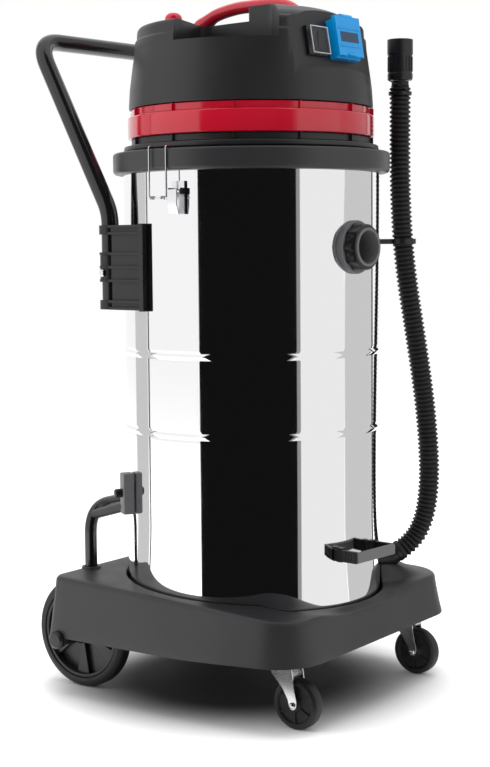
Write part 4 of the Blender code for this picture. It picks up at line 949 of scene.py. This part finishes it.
def lamp(name, at, aim, size, power):
    data = bpy.data.lights.new(name, "AREA")
    data.size = size
    data.energy = power
    obj = bpy.data.objects.new(name, data)
    bpy.context.scene.collection.objects.link(obj)
    turn = (Vector(aim) - Vector(at)).to_track_quat("-Z", "Y")
    obj.matrix_world = Matrix.Translation(at) @ turn.to_matrix().to_4x4()
    obj.visible_glossy = False
    return obj


def floor_with_painted_shadow():
    """White floor with a painted shadow: its colour darkens softly under the middle of the trolley."""
    made = finish("floor", (1.0, 1.0, 1.0), 0.80, spread=0.02)
    nodes, links = made.node_tree.nodes, made.node_tree.links
    where = nodes.new("ShaderNodeTexCoord")
    far = nodes.new("ShaderNodeVectorMath")
    far.operation = "LENGTH"
    # painted shadow: the floor colour blends from near black under the middle of the trolley to white further
    # out
    shadow_fade = nodes.new("ShaderNodeMapRange")
    shadow_fade.interpolation_type = "SMOOTHSTEP"
    shadow_fade.inputs["From Min"].default_value = 0.15
    shadow_fade.inputs["From Max"].default_value = 0.36
    tone_and_shadow_mix = nodes.new("ShaderNodeMix")
    tone_and_shadow_mix.data_type = "RGBA"
    tone_and_shadow_mix.inputs["A"].default_value = (0.02, 0.02, 0.02, 1.0)
    tone_and_shadow_mix.inputs["B"].default_value = (1.0, 1.0, 1.0, 1.0)
    links.new(where.outputs["Object"], far.inputs[0])
    links.new(far.outputs["Value"], shadow_fade.inputs["Value"])
    links.new(shadow_fade.outputs["Result"], tone_and_shadow_mix.inputs["Factor"])
    links.new(tone_and_shadow_mix.outputs["Result"], made.node_tree.nodes["Principled BSDF"].inputs["Base Color"])
    return made


def studio(turn):
    world = bpy.data.worlds.new("white")
    world.use_nodes = True
    world.node_tree.nodes["Background"].inputs["Color"].default_value = (1, 1, 1, 1)
    world.node_tree.nodes["Background"].inputs["Strength"].default_value = 1.0
    bpy.context.scene.world = world
    bpy.context.scene.view_settings.view_transform = "Standard"
    bm = bmesh.new()
    bmesh.ops.create_grid(bm, x_segments=1, y_segments=1, size=9.0)
    mesh = bpy.data.meshes.new("floor")
    bm.to_mesh(mesh)
    bm.free()
    floor = bpy.data.objects.new("floor", mesh)
    bpy.context.scene.collection.objects.link(floor)
    # the floor's material carries a painted shadow under the trolley
    floor.data.materials.append(floor_with_painted_shadow())
    camera_side = math.atan2(-math.cos(turn), -math.sin(turn))
    for name, start, end, radius, brightness in (
            ("dark_card", -41.9, 33.5, 0.75, 0.006), ("dark_card_edge", 33.5, 36.5, 0.75, 0.30),
            ("right_light_card", 37.0, 83.5, 1.6, 0.90), ("right_grey_card", 84, 126, 1.6, 0.62),
            ("right_dark_strip", 126.5, 130, 1.6, 0.06), ("left_grey_card", -124, -103, 1.6, 0.62),
            ("left_dark_strip", -102, -100, 1.6, 0.12)):
        card(name, start, end, radius, 0.001, 3.0, brightness, camera_side)
        floor_card(name + "_floor", start, end, 0.36, radius, brightness, camera_side)
    lamp("top_lamp", (0.3, 0.2, 3.2), (0, 0, 0.3), 2.4, 75)
    lamp("left_lamp", (-1.8, 1.6, 1.6), (0, 0, 0.6), 1.4, 22)


# ---- Everything ---------------------------------------------------------------------------------
TURN = add_camera()
drain_hose()
hose_clip()
tank()
inlet()
pull_loop()
push_handle()
for SIDE, LABEL in ((-1, "left"), (1, "right")):
    bracket(SIDE, LABEL)
    latch(SIDE, LABEL)
    rear_wheel(SIDE, LABEL)
    caster(SIDE, LABEL)
head_plate()
red_band()
head_cover()
carry_grip()
control_panel()
trolley()
hoop_block()
for ITEM in frame["record"]["subparts"]:
    NODE = frame["nodes"][ITEM["node"]]
    NODE.data.materials.clear()
    NODE.data.materials.append(MAT[ITEM["material_slot"]])
studio(TURN)
